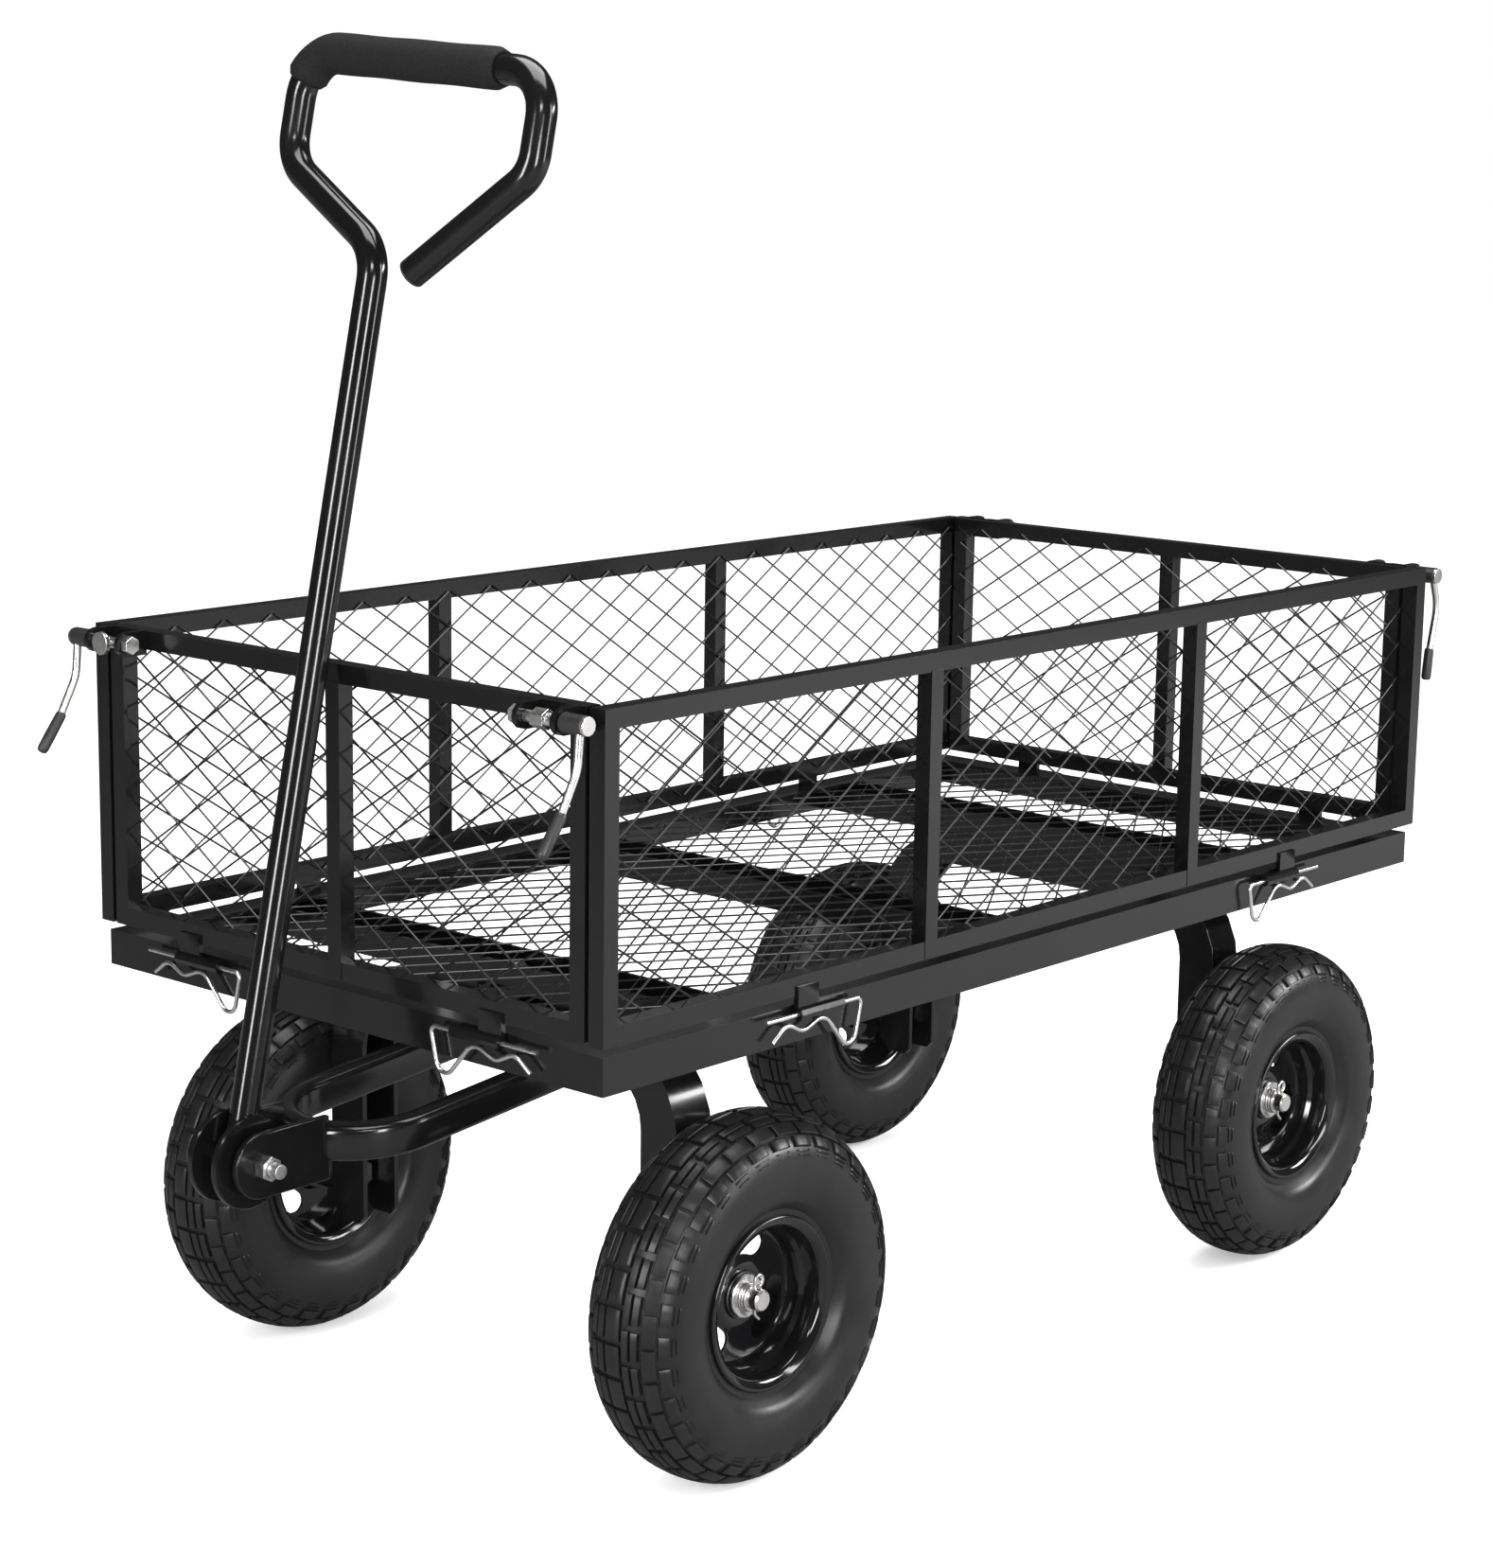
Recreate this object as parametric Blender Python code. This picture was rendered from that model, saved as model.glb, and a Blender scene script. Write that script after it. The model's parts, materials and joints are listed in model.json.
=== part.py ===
# Garden cart: steel tray on four pneumatic wheels, four fold-down mesh sides, steered by a pull handle.
# Metres, +Z up, ground at z = 0, front and handle towards -Y. Shapes are laid out about the middle of
# the tray, and shift_to_origin() then puts the origin below the middle of the overall length.
from math import asin, atan2, cos, hypot, pi, radians, sin, tan

import bmesh
import bpy
from mathutils import Matrix, Vector

# Driving dimensions
TRAY_WIDTH = 0.485
TRAY_LENGTH = 0.960
CAGE_HEIGHT = 0.213
TYRE_RADIUS = 0.127
GAP = 0.0003          # clearance between pieces that touch
BORE_PLAY = 0.0003    # a bore's radius over its pin's

# Tray: a ring of steel angle with a mesh floor on three crossbars
STEEL = 0.003
TRAY_HEIGHT = 0.0255
FLANGE_WIDTH = 0.025
TRAY_OVER_TYRES = 0.0495
BED_THICKNESS = 0.002
CROSSBAR_WIDTH = 0.040

# Cage: four frames of square tube with a mesh sheet on the inner face of each
TUBE = 0.013
CAGE_OVERHANG = 0.004
CAGE_LIFT = 0.007
CORNER_GAP = 0.0035
SIDE_BAR_SPACING = 0.318
BAR_PROUD = 0.0004
SHEET_LAP = 0.005

# Hinges: a knuckle on the tray and one on the panel, and a hairpin through both
HINGE_OUT = 0.006
HINGE_DROP = 0.005
KNUCKLE_RADIUS = 0.0045
KNUCKLE_LENGTH = 0.022
KNUCKLE_SIDES = 8
TAB_INSET = 0.0006
TRAY_TAB = 0.007
PIN_WIRE = 0.0016
PIN_LENGTH = 0.097
SIDE_PIN_INSET = 0.245    # from the tray's end to the pin's loop
END_PIN_INSET = 0.1495    # from the tray's side to the pin's loop

# Latches on the upper corners of the front and rear panels
LATCH_OUT = 0.0165
LATCH_DROP = 0.008
LATCH_BOLT = 0.004
EAR_RADIUS = 0.0085
EAR_THICKNESS = 0.004
INNER_EAR = 0.0390        # from the panel's edge to the ear's inner face
OUTER_EAR = 0.0065
LATCH_HEAD = 0.0065
LATCH_END = 0.0062
LATCH_NUT = 0.011         # length, between the ears
LATCH_NUT_RADIUS = 0.0068
LATCH_DOME = 0.0082
LEVER_ROD = 0.0025
LEVER_TIP = 0.004
LEVER_HUB = 0.0065

# Running gear
FRONT_AXLE_INSET = 0.163
REAR_AXLE_INSET = 0.155
WHEEL_INSET = 0.0261
TYRE_HALF_WIDTH = 0.0375
TYRE_TO_ARCH = 0.0059
ARCH_WIDTH = 0.035
ARCH_DEPTH = 0.034
ARCH_CROWN = 0.028
ARCH_STEEL = 0.004
ARCH_CORNER = 0.075
ARCH_FOOT = 0.030
ARCH_FOOT_CHAMFER = 0.010
AXLE_RADIUS = 0.0075
AXLE_HEAD = 0.0125
AXLE_HEAD_LENGTH = 0.0087
AXLE_PAST_WHEEL = 0.0196
HUB_RADIUS = 0.0165
HUB_TO_ARCH = 0.0008
HUB_END = 0.0021          # beyond the wheel's middle plane
WASHER_RADIUS = 0.015
WASHER_THICKNESS = 0.003
WASHER_PLAY = 0.0005
COTTER_WIRE = 0.0013
COTTER_HOLE = 0.0018
COTTER_EYE = 0.0040
COTTER_INSET = 0.008
KINGPIN_RADIUS = 0.006
KINGPIN_HEAD = 0.011
THRUST_GAP = 0.0055
THRUST_PAD = 0.026

# Steering bow, clevis and handle
PIVOT_AHEAD = 0.0895
PIVOT_OVER_AXLE = 0.105
PIVOT_BOLT = 0.005
BOW_WIDTH = 0.018
BOW_HEIGHT = 0.0235
BOW_RADIUS = 0.0535
BOW_TO_PIVOT = 0.112
BOW_SLOPE = 0.10
BOW_DROP = 0.0095         # from the pivot down to the bow's underside at its nose
EAR_OUTER = 0.025
CLEVIS_EAR = 0.005
CLEVIS_RADIUS = 0.022
CLEVIS_BOSS = 0.011
PIVOT_HEAD = 0.0085
PIVOT_BOLT_TAIL = 0.018   # past the clevis ear, on the nut's side
CHEEK_RADIUS = 0.031
CHEEK_OUTER = 0.014
HANDLE_TUBE = 0.010
HANDLE_WALL = 0.0015
GRIP_RADIUS = 0.0135
RAIL_CLEARANCE = 0.006

HALF_W = TRAY_WIDTH / 2
HALF_L = TRAY_LENGTH / 2
AXLE_Z = TYRE_RADIUS
TRAY_BOTTOM = 2 * TYRE_RADIUS + TRAY_OVER_TYRES
TRAY_TOP = TRAY_BOTTOM + TRAY_HEIGHT
BED_TOP = TRAY_TOP - STEEL - GAP
CAGE_BOTTOM = TRAY_TOP + CAGE_LIFT
CAGE_TOP = CAGE_BOTTOM + CAGE_HEIGHT
CAGE_X = HALF_W + CAGE_OVERHANG
CAGE_Y = HALF_L + CAGE_OVERHANG
END_PANEL_X = CAGE_X - TUBE - CORNER_GAP
HINGE_Z = TRAY_TOP - HINGE_DROP
LATCH_Z = CAGE_TOP - LATCH_DROP
LATCH_Y = CAGE_Y + LATCH_OUT
LEVER_X = CAGE_X - LEVER_ROD - 0.001
FRONT_AXLE_Y = -HALF_L + FRONT_AXLE_INSET
REAR_AXLE_Y = HALF_L - REAR_AXLE_INSET
WHEEL_X = HALF_W - WHEEL_INSET
ARCH_TO_WHEEL = TYRE_HALF_WIDTH + TYRE_TO_ARCH
ARCH_X = WHEEL_X - ARCH_TO_WHEEL
FRONT_ARCH_TOP = TRAY_BOTTOM - THRUST_GAP
REAR_ARCH_TOP = TRAY_BOTTOM - GAP
PIVOT = Vector((0, -HALF_L - PIVOT_AHEAD, AXLE_Z + PIVOT_OVER_AXLE))
BOW_CENTRE_Y = PIVOT.y + BOW_TO_PIVOT

# The shaft leans back until it stands RAIL_CLEARANCE off the front panel's top rail.
RAIL_AHEAD = -CAGE_Y - PIVOT.y
RAIL_OVER = CAGE_TOP - PIVOT.z
RAIL_REACH = hypot(RAIL_AHEAD, RAIL_OVER)
HANDLE_LEAN = atan2(RAIL_AHEAD, RAIL_OVER) - asin((HANDLE_TUBE + RAIL_CLEARANCE) / RAIL_REACH)

# Handle centreline: distance across, distance along the shaft, corner radius
SHAFT_START = 0.0085
SHAFT_LENGTH = 0.596
HANDLE_CORNERS = [
    (0.0, SHAFT_START, 0.0),
    (0.0, SHAFT_LENGTH, 0.035),
    (-0.0955, SHAFT_LENGTH + 0.056, 0.032),
    (-0.0955, SHAFT_LENGTH + 0.1295, 0.030),
    (0.092, SHAFT_LENGTH + 0.1176, 0.0),
    (0.131, SHAFT_LENGTH + 0.115, 0.030),
    (0.131, SHAFT_LENGTH + 0.0525, 0.024),
    (0.038, SHAFT_LENGTH - 0.013, 0.0),
]
GRIP_FROM = 3    # corner whose bend the grip starts in
GRIP_TO = 4      # corner that the grip ends at

# Hairpin centreline from its tip: distance from the loop, height, corner radius
PIN_CORNERS = [
    (PIN_LENGTH, 0.0, 0.0),
    (0.0, 0.0, 0.004),
    (0.009, -0.0385, 0.008),
    (0.039, -0.0045, 0.012),
    (0.060, -0.0125, 0.012),
    (0.077, -0.0045, 0.010),
    (0.091, -0.015, 0.0),
]

# Latch levers from the pivot: distance outwards, height, corner radius. The last two points carry the tip.
FRONT_LEVER = [
    (0.0020, -0.0055, 0.0),
    (0.0040, -0.0270, 0.030),
    (0.0185, -0.0541, 0.0),
    (0.0353, -0.0771, 0.0),
]
REAR_LEVER = [
    (0.0020, -0.0055, 0.0),
    (0.0100, -0.0260, 0.030),
    (0.0010, -0.0630, 0.0),
    (-0.0019, -0.0866, 0.0),
]

# Rim: a lipped barrel round a flat disc with a boss. Distances are outwards from the wheel's middle plane.
RIM_LIP = 0.0605
RIM_BARREL = 0.0530
RIM_INNER = 0.0510
RIM_HALF_WIDTH = 0.0285
RIM_SEAT = 0.0262
RIM_FLARE = 0.001
DISC_FACE = -0.0012
DISC_BACK = -0.0038
BOSS_RADIUS = 0.020
BOSS_FACE = 0.001
BOSS_BACK = -0.011
WINDOW_INNER = 0.027
WINDOW_OUTER = 0.044
WINDOW_ANGLE = radians(74)

# Tyre section: share of the half width, and share of the height from the bead to the tread
TYRE_BEAD = 0.0615
TYRE_SHAPE = [
    (0.987, 0.282),
    (1.000, 0.588),
    (0.773, 0.901),
    (0.320, 1.000),
]

# The four cage sides: the axis that each runs along, and the side of the cart that it is on
SIDES = {
    "right": ("Y", 1),
    "left": ("Y", -1),
    "front": ("X", -1),
    "rear": ("X", 1),
}
CORNERS = {
    "front_right": (1, -1),
    "front_left": (-1, -1),
    "rear_right": (1, 1),
    "rear_left": (-1, 1),
}


def clear_scene():
    for old in list(bpy.data.objects):
        bpy.data.objects.remove(old)


def finish(name, colour, roughness, metallic):
    material = bpy.data.materials.new(name)
    material.use_nodes = True
    shader = material.node_tree.nodes["Principled BSDF"]
    shader.inputs["Base Color"].default_value = (*colour, 1)
    shader.inputs["Roughness"].default_value = roughness
    shader.inputs["Metallic"].default_value = metallic
    return material


def make_finishes():
    return {
        "powder_coat": finish("powder_coat", (0.012, 0.012, 0.013), 0.28, 0.0),
        "wire_mesh": finish("wire_mesh", (0.014, 0.014, 0.015), 0.32, 0.0),
        "rim_gloss": finish("rim_gloss", (0.010, 0.010, 0.011), 0.18, 0.0),
        "zinc": finish("zinc", (0.62, 0.61, 0.58), 0.30, 1.0),
        "tyre_rubber": finish("tyre_rubber", (0.016, 0.016, 0.017), 0.62, 0.0),
        "foam_grip": finish("foam_grip", (0.010, 0.010, 0.010), 0.85, 0.0),
        "lever_zinc": finish("lever_zinc", (0.58, 0.57, 0.55), 0.33, 1.0),
        "end_plug": finish("end_plug", (0.014, 0.014, 0.014), 0.50, 0.0),
        "hub_bearing": finish("hub_bearing", (0.10, 0.10, 0.10), 0.40, 0.6),
    }


def as_object(bm):
    bmesh.ops.recalc_face_normals(bm, faces=bm.faces)
    mesh = bpy.data.meshes.new("solid")
    bm.to_mesh(mesh)
    bm.free()
    solid = bpy.data.objects.new("solid", mesh)
    bpy.context.scene.collection.objects.link(solid)
    return solid


def block(a, b):
    # A box between two opposite corners.
    low = Vector([min(p, q) for p, q in zip(a, b)])
    high = Vector([max(p, q) for p, q in zip(a, b)])
    bm = bmesh.new()
    placing = Matrix.Translation((low + high) / 2) @ Matrix.Diagonal((*(high - low), 1))
    bmesh.ops.create_cube(bm, size=1, matrix=placing)
    return as_object(bm)


def rod(a, b, radius, sides=12):
    # A round or, with 6 sides, a hexagonal bar between two points.
    start, end = Vector(a), Vector(b)
    along = end - start
    turn = along.to_track_quat("Z", "Y").to_matrix().to_4x4()
    bm = bmesh.new()
    bmesh.ops.create_cone(bm, cap_ends=True, segments=sides, radius1=radius, radius2=radius,
                          depth=along.length, matrix=Matrix.Translation((start + end) / 2) @ turn)
    return as_object(bm)


def cross_rod(low, high, centre, radius, sides=12):
    # A bar along X, from low to high, through a centre of which only y and z count.
    return rod((low, centre[1], centre[2]), (high, centre[1], centre[2]), radius, sides)


def plate(outline, axis, low, high):
    # A flat outline extruded along X or Y: outline points are (y, z) or (x, z).
    bm = bmesh.new()
    if axis == "X":
        rim = [bm.verts.new((low, p, q)) for p, q in outline]
        travel = Vector((high - low, 0, 0))
    else:
        rim = [bm.verts.new((p, low, q)) for p, q in outline]
        travel = Vector((0, high - low, 0))
    face = bm.faces.new(rim)
    grown = bmesh.ops.extrude_face_region(bm, geom=[face])
    moved = [item for item in grown["geom"] if isinstance(item, bmesh.types.BMVert)]
    bmesh.ops.translate(bm, vec=travel, verts=moved)
    return as_object(bm)


def turned(outline, centre, outward, segments):
    # A closed (along, radius) outline spun about the X axis through centre.
    bm = bmesh.new()
    points = [bm.verts.new((centre[0] + outward * a, centre[1], centre[2] - r)) for a, r in outline]
    edges = [bm.edges.new((p, q)) for p, q in zip(points, points[1:] + points[:1])]
    bmesh.ops.spin(bm, geom=points + edges, cent=centre, axis=(1, 0, 0), angle=2 * pi, steps=segments,
                   use_merge=True)
    return as_object(bm)


def rounded_path(corners, steps):
    # Points along a polyline whose corners are rounded by arcs, and where each corner's points start.
    points = []
    starts = []
    spots = [Vector(corner[:2]) for corner in corners]
    for index, corner in enumerate(corners):
        starts.append(len(points))
        radius = corner[2]
        if radius == 0:
            points.append(spots[index])
            continue
        back = (spots[index - 1] - spots[index]).normalized()
        ahead = (spots[index + 1] - spots[index]).normalized()
        half = back.angle(ahead) / 2
        centre = spots[index] + (back + ahead).normalized() * (radius / sin(half))
        first = spots[index] + back * (radius / tan(half)) - centre
        last = spots[index] + ahead * (radius / tan(half)) - centre
        sweep = first.angle(last)
        for step in range(steps + 1):
            share = step / steps
            mix = first * sin((1 - share) * sweep) + last * sin(share * sweep)
            points.append(centre + mix / sin(sweep))
    return points, starts


def ring_of(radius, sides):
    return [(radius * cos(2 * pi * k / sides), radius * sin(2 * pi * k / sides)) for k in range(sides)]


def swept_rings(bm, path, side, section, span):
    # One ring of vertices at each path point: section points are (in the path's plane, along side).
    rings = []
    for index in span:
        here = path[index]
        before = path[max(index - 1, 0)]
        after = path[min(index + 1, len(path) - 1)]
        coming = (here - before).normalized() if index else (after - here).normalized()
        going = (after - here).normalized() if index < len(path) - 1 else coming
        along = (coming + going).normalized()
        across = side.cross(along).normalized()
        widen = 1 / max(along.dot(going), 0.3)
        rings.append([bm.verts.new(here + across * (a * widen) + side * b) for a, b in section])
    return rings


def skin(bm, rings):
    for near, far in zip(rings, rings[1:]):
        for k in range(len(near)):
            after = (k + 1) % len(near)
            bm.faces.new((near[k], near[after], far[after], far[k]))


def swept(path, side, section, hollow=None, span=None):
    # A solid bar, or with a second section a tube open at both ends, along a path in one plane.
    bm = bmesh.new()
    span = span or range(len(path))
    outer = swept_rings(bm, path, side, section, span)
    skin(bm, outer)
    if hollow is None:
        bm.faces.new(outer[0])
        bm.faces.new(outer[-1])
    else:
        inner = swept_rings(bm, path, side, hollow, span)
        skin(bm, inner)
        skin(bm, [outer[0], inner[0]])
        skin(bm, [outer[-1], inner[-1]])
    return as_object(bm)


def combine(base, others, operation):
    for other in others:
        step = base.modifiers.new("step", "BOOLEAN")
        step.operation = operation
        step.solver = "EXACT"
        step.object = other
        view = bpy.context.evaluated_depsgraph_get()
        shaped = bpy.data.meshes.new_from_object(base.evaluated_get(view))
        base.modifiers.clear()
        base.data = shaped
        bpy.data.objects.remove(other)


def piece(name, material, solids, cuts=(), origin=(0, 0, 0)):
    # One sub-part: its solids joined, its holes cut, its material on it and its origin where it turns.
    base = solids[0]
    combine(base, solids[1:], "UNION")
    combine(base, cuts, "DIFFERENCE")
    base.name = name
    base.data.name = name
    base.data.materials.clear()
    base.data.materials.append(material)
    base.data.transform(Matrix.Translation(-Vector(origin)))
    base.location = origin
    base.data.shade_smooth()
    base.data.set_sharp_from_angle(angle=radians(40))
    return base


def on_side(side, along, out, height):
    # A point on one side of the cart, from its place along that side and its distance out.
    axis, sign = SIDES[side]
    if axis == "Y":
        return Vector((sign * out, along, height))
    return Vector((along, sign * out, height))


def side_block(side, along, out, height):
    return block(on_side(side, along[0], out[0], height[0]), on_side(side, along[1], out[1], height[1]))


def side_reach(side):
    # Half the panel's length, its outer face, and how far out its hinge axis is.
    if SIDES[side][0] == "Y":
        return CAGE_Y, CAGE_X, HALF_W + HINGE_OUT
    return END_PANEL_X, CAGE_Y, HALF_L + HINGE_OUT


def hinge_starts(side):
    start = HALF_L - SIDE_PIN_INSET if SIDES[side][0] == "Y" else HALF_W - END_PIN_INSET
    return [(start, 1), (-start, -1)]


def knuckle(side, start, direction, order, reach_out, reach_up):
    # A barrel on the hinge axis and the tab that carries it. Order 1 is the tray's and 2 the panel's.
    axis_out = side_reach(side)[2]
    near = start + direction * (order * KNUCKLE_LENGTH + (order - 1) * GAP)
    far = near + direction * KNUCKLE_LENGTH
    barrel = rod(on_side(side, near, axis_out, HINGE_Z), on_side(side, far, axis_out, HINGE_Z),
                 KNUCKLE_RADIUS, KNUCKLE_SIDES)
    tab = side_block(side, (near + direction * TAB_INSET, far - direction * TAB_INSET), reach_out, reach_up)
    bore = rod(on_side(side, near - direction * GAP, axis_out, HINGE_Z),
               on_side(side, far + direction * GAP, axis_out, HINGE_Z), PIN_WIRE + BORE_PLAY, KNUCKLE_SIDES)
    return barrel, tab, bore


def tray_frame(finishes):
    inner_x, inner_y = HALF_W - STEEL, HALF_L - STEEL
    solids = [block((-HALF_W, -HALF_L, TRAY_BOTTOM), (HALF_W, HALF_L, TRAY_TOP))]
    cuts = [
        block((-inner_x, -inner_y, TRAY_BOTTOM - STEEL), (inner_x, inner_y, TRAY_TOP - STEEL)),
        block((-HALF_W + FLANGE_WIDTH, -HALF_L + FLANGE_WIDTH, TRAY_BOTTOM),
              (HALF_W - FLANGE_WIDTH, HALF_L - FLANGE_WIDTH, TRAY_TOP + STEEL)),
    ]
    combine(solids[0], cuts, "DIFFERENCE")
    bar_top = BED_TOP - BED_THICKNESS - GAP
    for y in (FRONT_AXLE_Y, 0, REAR_AXLE_Y):
        low, high = y - CROSSBAR_WIDTH / 2, y + CROSSBAR_WIDTH / 2
        bar = block((-HALF_W + STEEL / 2, low, TRAY_BOTTOM), (HALF_W - STEEL / 2, high, bar_top))
        trough = block((-inner_x - GAP, low + STEEL, TRAY_BOTTOM + STEEL),
                       (inner_x + GAP, high - STEEL, TRAY_TOP))
        combine(bar, [trough], "DIFFERENCE")
        solids.append(bar)
    solids.append(rod((0, FRONT_AXLE_Y, FRONT_ARCH_TOP + GAP), (0, FRONT_AXLE_Y, TRAY_BOTTOM + STEEL / 2),
                      THRUST_PAD, 20))
    bores = [rod((0, FRONT_AXLE_Y, FRONT_ARCH_TOP), (0, FRONT_AXLE_Y, TRAY_TOP), KINGPIN_RADIUS + BORE_PLAY)]
    for side in SIDES:
        face = side_reach(side)[2] - HINGE_OUT
        for start, direction in hinge_starts(side):
            reach_out = (face - STEEL / 2, face + HINGE_OUT + 0.0011)
            reach_up = (HINGE_Z - TRAY_TAB / 2, HINGE_Z + TRAY_TAB / 2)
            barrel, tab, bore = knuckle(side, start, direction, 1, reach_out, reach_up)
            combine(barrel, [tab], "UNION")
            solids.append(barrel)
            bores.append(bore)
    return piece("tray_frame", finishes["powder_coat"], solids, bores)


def bed_mesh(finishes):
    x, y = HALF_W - STEEL - GAP, HALF_L - STEEL - GAP
    sheet = block((-x, -y, BED_TOP - BED_THICKNESS), (x, y, BED_TOP))
    return piece("bed_mesh", finishes["wire_mesh"], [sheet])


def latch_bracket(side, end):
    # Two round-nosed ears on a back plate, near the panel's upper corner.
    sign = SIDES[side][1]
    back = CAGE_Y - 0.0005
    span = (end * (END_PANEL_X - INNER_EAR), end * (END_PANEL_X - OUTER_EAR + EAR_THICKNESS))
    solids = [side_block(side, span, (back, CAGE_Y + 0.002), (LATCH_Z - EAR_RADIUS, LATCH_Z + EAR_RADIUS))]
    for inset in (INNER_EAR, OUTER_EAR):
        low = end * (END_PANEL_X - inset)
        high = low + end * EAR_THICKNESS
        nose = [(sign * (LATCH_Y + EAR_RADIUS * sin(radians(a))), LATCH_Z + EAR_RADIUS * cos(radians(a)))
                for a in range(0, 181, 30)]
        outline = [(sign * back, LATCH_Z + EAR_RADIUS)] + nose + [(sign * back, LATCH_Z - EAR_RADIUS)]
        solids.append(plate(outline, "X", low, high))
    bore = cross_rod(end * (END_PANEL_X - INNER_EAR - GAP), end * (END_PANEL_X + GAP),
                     (0, sign * LATCH_Y, LATCH_Z), LATCH_BOLT + BORE_PLAY)
    return solids, bore


def panel_frame(side, finishes):
    reach, face, axis_out = side_reach(side)
    frame = side_block(side, (-reach, reach), (face - TUBE, face), (CAGE_BOTTOM, CAGE_TOP))
    window = side_block(side, (-reach + TUBE, reach - TUBE), (face - 2 * TUBE, face + TUBE),
                        (CAGE_BOTTOM + TUBE, CAGE_TOP - TUBE))
    combine(frame, [window], "DIFFERENCE")
    solids = [frame]
    bores = []
    bars = (-SIDE_BAR_SPACING / 2, SIDE_BAR_SPACING / 2) if SIDES[side][0] == "Y" else (0.0,)
    for middle in bars:
        span = (middle - TUBE / 2, middle + TUBE / 2)
        height = (CAGE_BOTTOM + BAR_PROUD, CAGE_TOP - TUBE + 0.001)
        solids.append(side_block(side, span, (face - TUBE + 0.001, face + BAR_PROUD), height))
    for start, direction in hinge_starts(side):
        barrel, tab, bore = knuckle(side, start, direction, 2, (axis_out - 0.0042, axis_out - 0.0002),
                                    (HINGE_Z, CAGE_BOTTOM + TUBE / 2))
        combine(barrel, [tab], "UNION")
        solids.append(barrel)
        bores.append(bore)
    if SIDES[side][0] == "X":
        for end in (-1, 1):
            bracket, bore = latch_bracket(side, end)
            solids.extend(bracket)
            bores.append(bore)
    hinge = on_side(side, 0, axis_out, HINGE_Z)
    return piece(f"panel_frame_{side}", finishes["powder_coat"], solids, bores, hinge)


def panel_mesh(side, finishes):
    # The sheet laps over the inner faces of its frame's tubes.
    reach, face, axis_out = side_reach(side)
    inset = TUBE + 0.001 if SIDES[side][0] == "Y" else TUBE - SHEET_LAP
    back = face - TUBE - GAP
    sheet = side_block(side, (-reach + inset, reach - inset), (back - BED_THICKNESS, back),
                       (CAGE_BOTTOM + TUBE - SHEET_LAP, CAGE_TOP - TUBE + SHEET_LAP))
    hinge = on_side(side, 0, axis_out, HINGE_Z)
    return piece(f"panel_mesh_{side}", finishes["wire_mesh"], [sheet], (), hinge)


def hairpin(name, side, start, direction, finishes):
    path = rounded_path(PIN_CORNERS, 2)[0]
    axis_out = side_reach(side)[2]
    wire = [on_side(side, start + direction * along, axis_out, HINGE_Z + height) for along, height in path]
    across = on_side(side, 0, 1, 0)
    solid = swept(wire, across, ring_of(PIN_WIRE, 5))
    return piece(name, finishes["zinc"], [solid], (), on_side(side, start, axis_out, HINGE_Z))


def latch_lever(name, end, sign, finishes):
    pivot = Vector((end * LEVER_X, sign * LATCH_Y, LATCH_Z))
    corners = FRONT_LEVER if sign < 0 else REAR_LEVER
    path = [pivot + Vector((0, sign * out, height)) for out, height in rounded_path(corners, 4)[0]]
    across = Vector((1, 0, 0))
    hub_from = end * (END_PANEL_X - OUTER_EAR + EAR_THICKNESS + GAP)
    hub_to = end * (LEVER_X + LEVER_ROD)
    hub = cross_rod(hub_from, hub_to, pivot, LEVER_HUB)
    shank = swept(path, across, ring_of(LEVER_ROD, 6))
    tip = swept(path[-2:], across, ring_of(LEVER_TIP, 8))
    bore = cross_rod(hub_from - end * GAP, hub_to + end * GAP, pivot, LATCH_BOLT + BORE_PLAY)
    return piece(name, finishes["lever_zinc"], [hub, shank, tip], [bore], pivot)


def latch_bolt(name, end, sign, finishes):
    # Head, shank, the nut between the ears and the flat end that keeps the lever on.
    y = sign * LATCH_Y
    inner = END_PANEL_X - INNER_EAR - GAP
    outer = LEVER_X + LEVER_ROD + GAP
    middle = END_PANEL_X - (INNER_EAR + OUTER_EAR - EAR_THICKNESS) / 2

    def bar(low, high, radius, sides=12):
        return cross_rod(end * low, end * high, (0, y, LATCH_Z), radius, sides)

    def dome(low, high, radius):
        return rod((end * middle, y + sign * low, LATCH_Z), (end * middle, y + sign * high, LATCH_Z), radius)

    solids = [bar(inner - 0.004, outer + 0.002, LATCH_BOLT), bar(inner - 0.006, inner, LATCH_HEAD, 6),
              bar(outer, outer + 0.003, LATCH_END)]
    if (end, sign) == (-1, -1):
        solids += [dome(0, 0.0065, LATCH_BOLT), dome(0.006, 0.0095, LATCH_DOME)]
    else:
        solids.append(bar(middle - LATCH_NUT / 2, middle + LATCH_NUT / 2, LATCH_NUT_RADIUS, 6))
    return piece(name, finishes["zinc"], solids)


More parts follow.
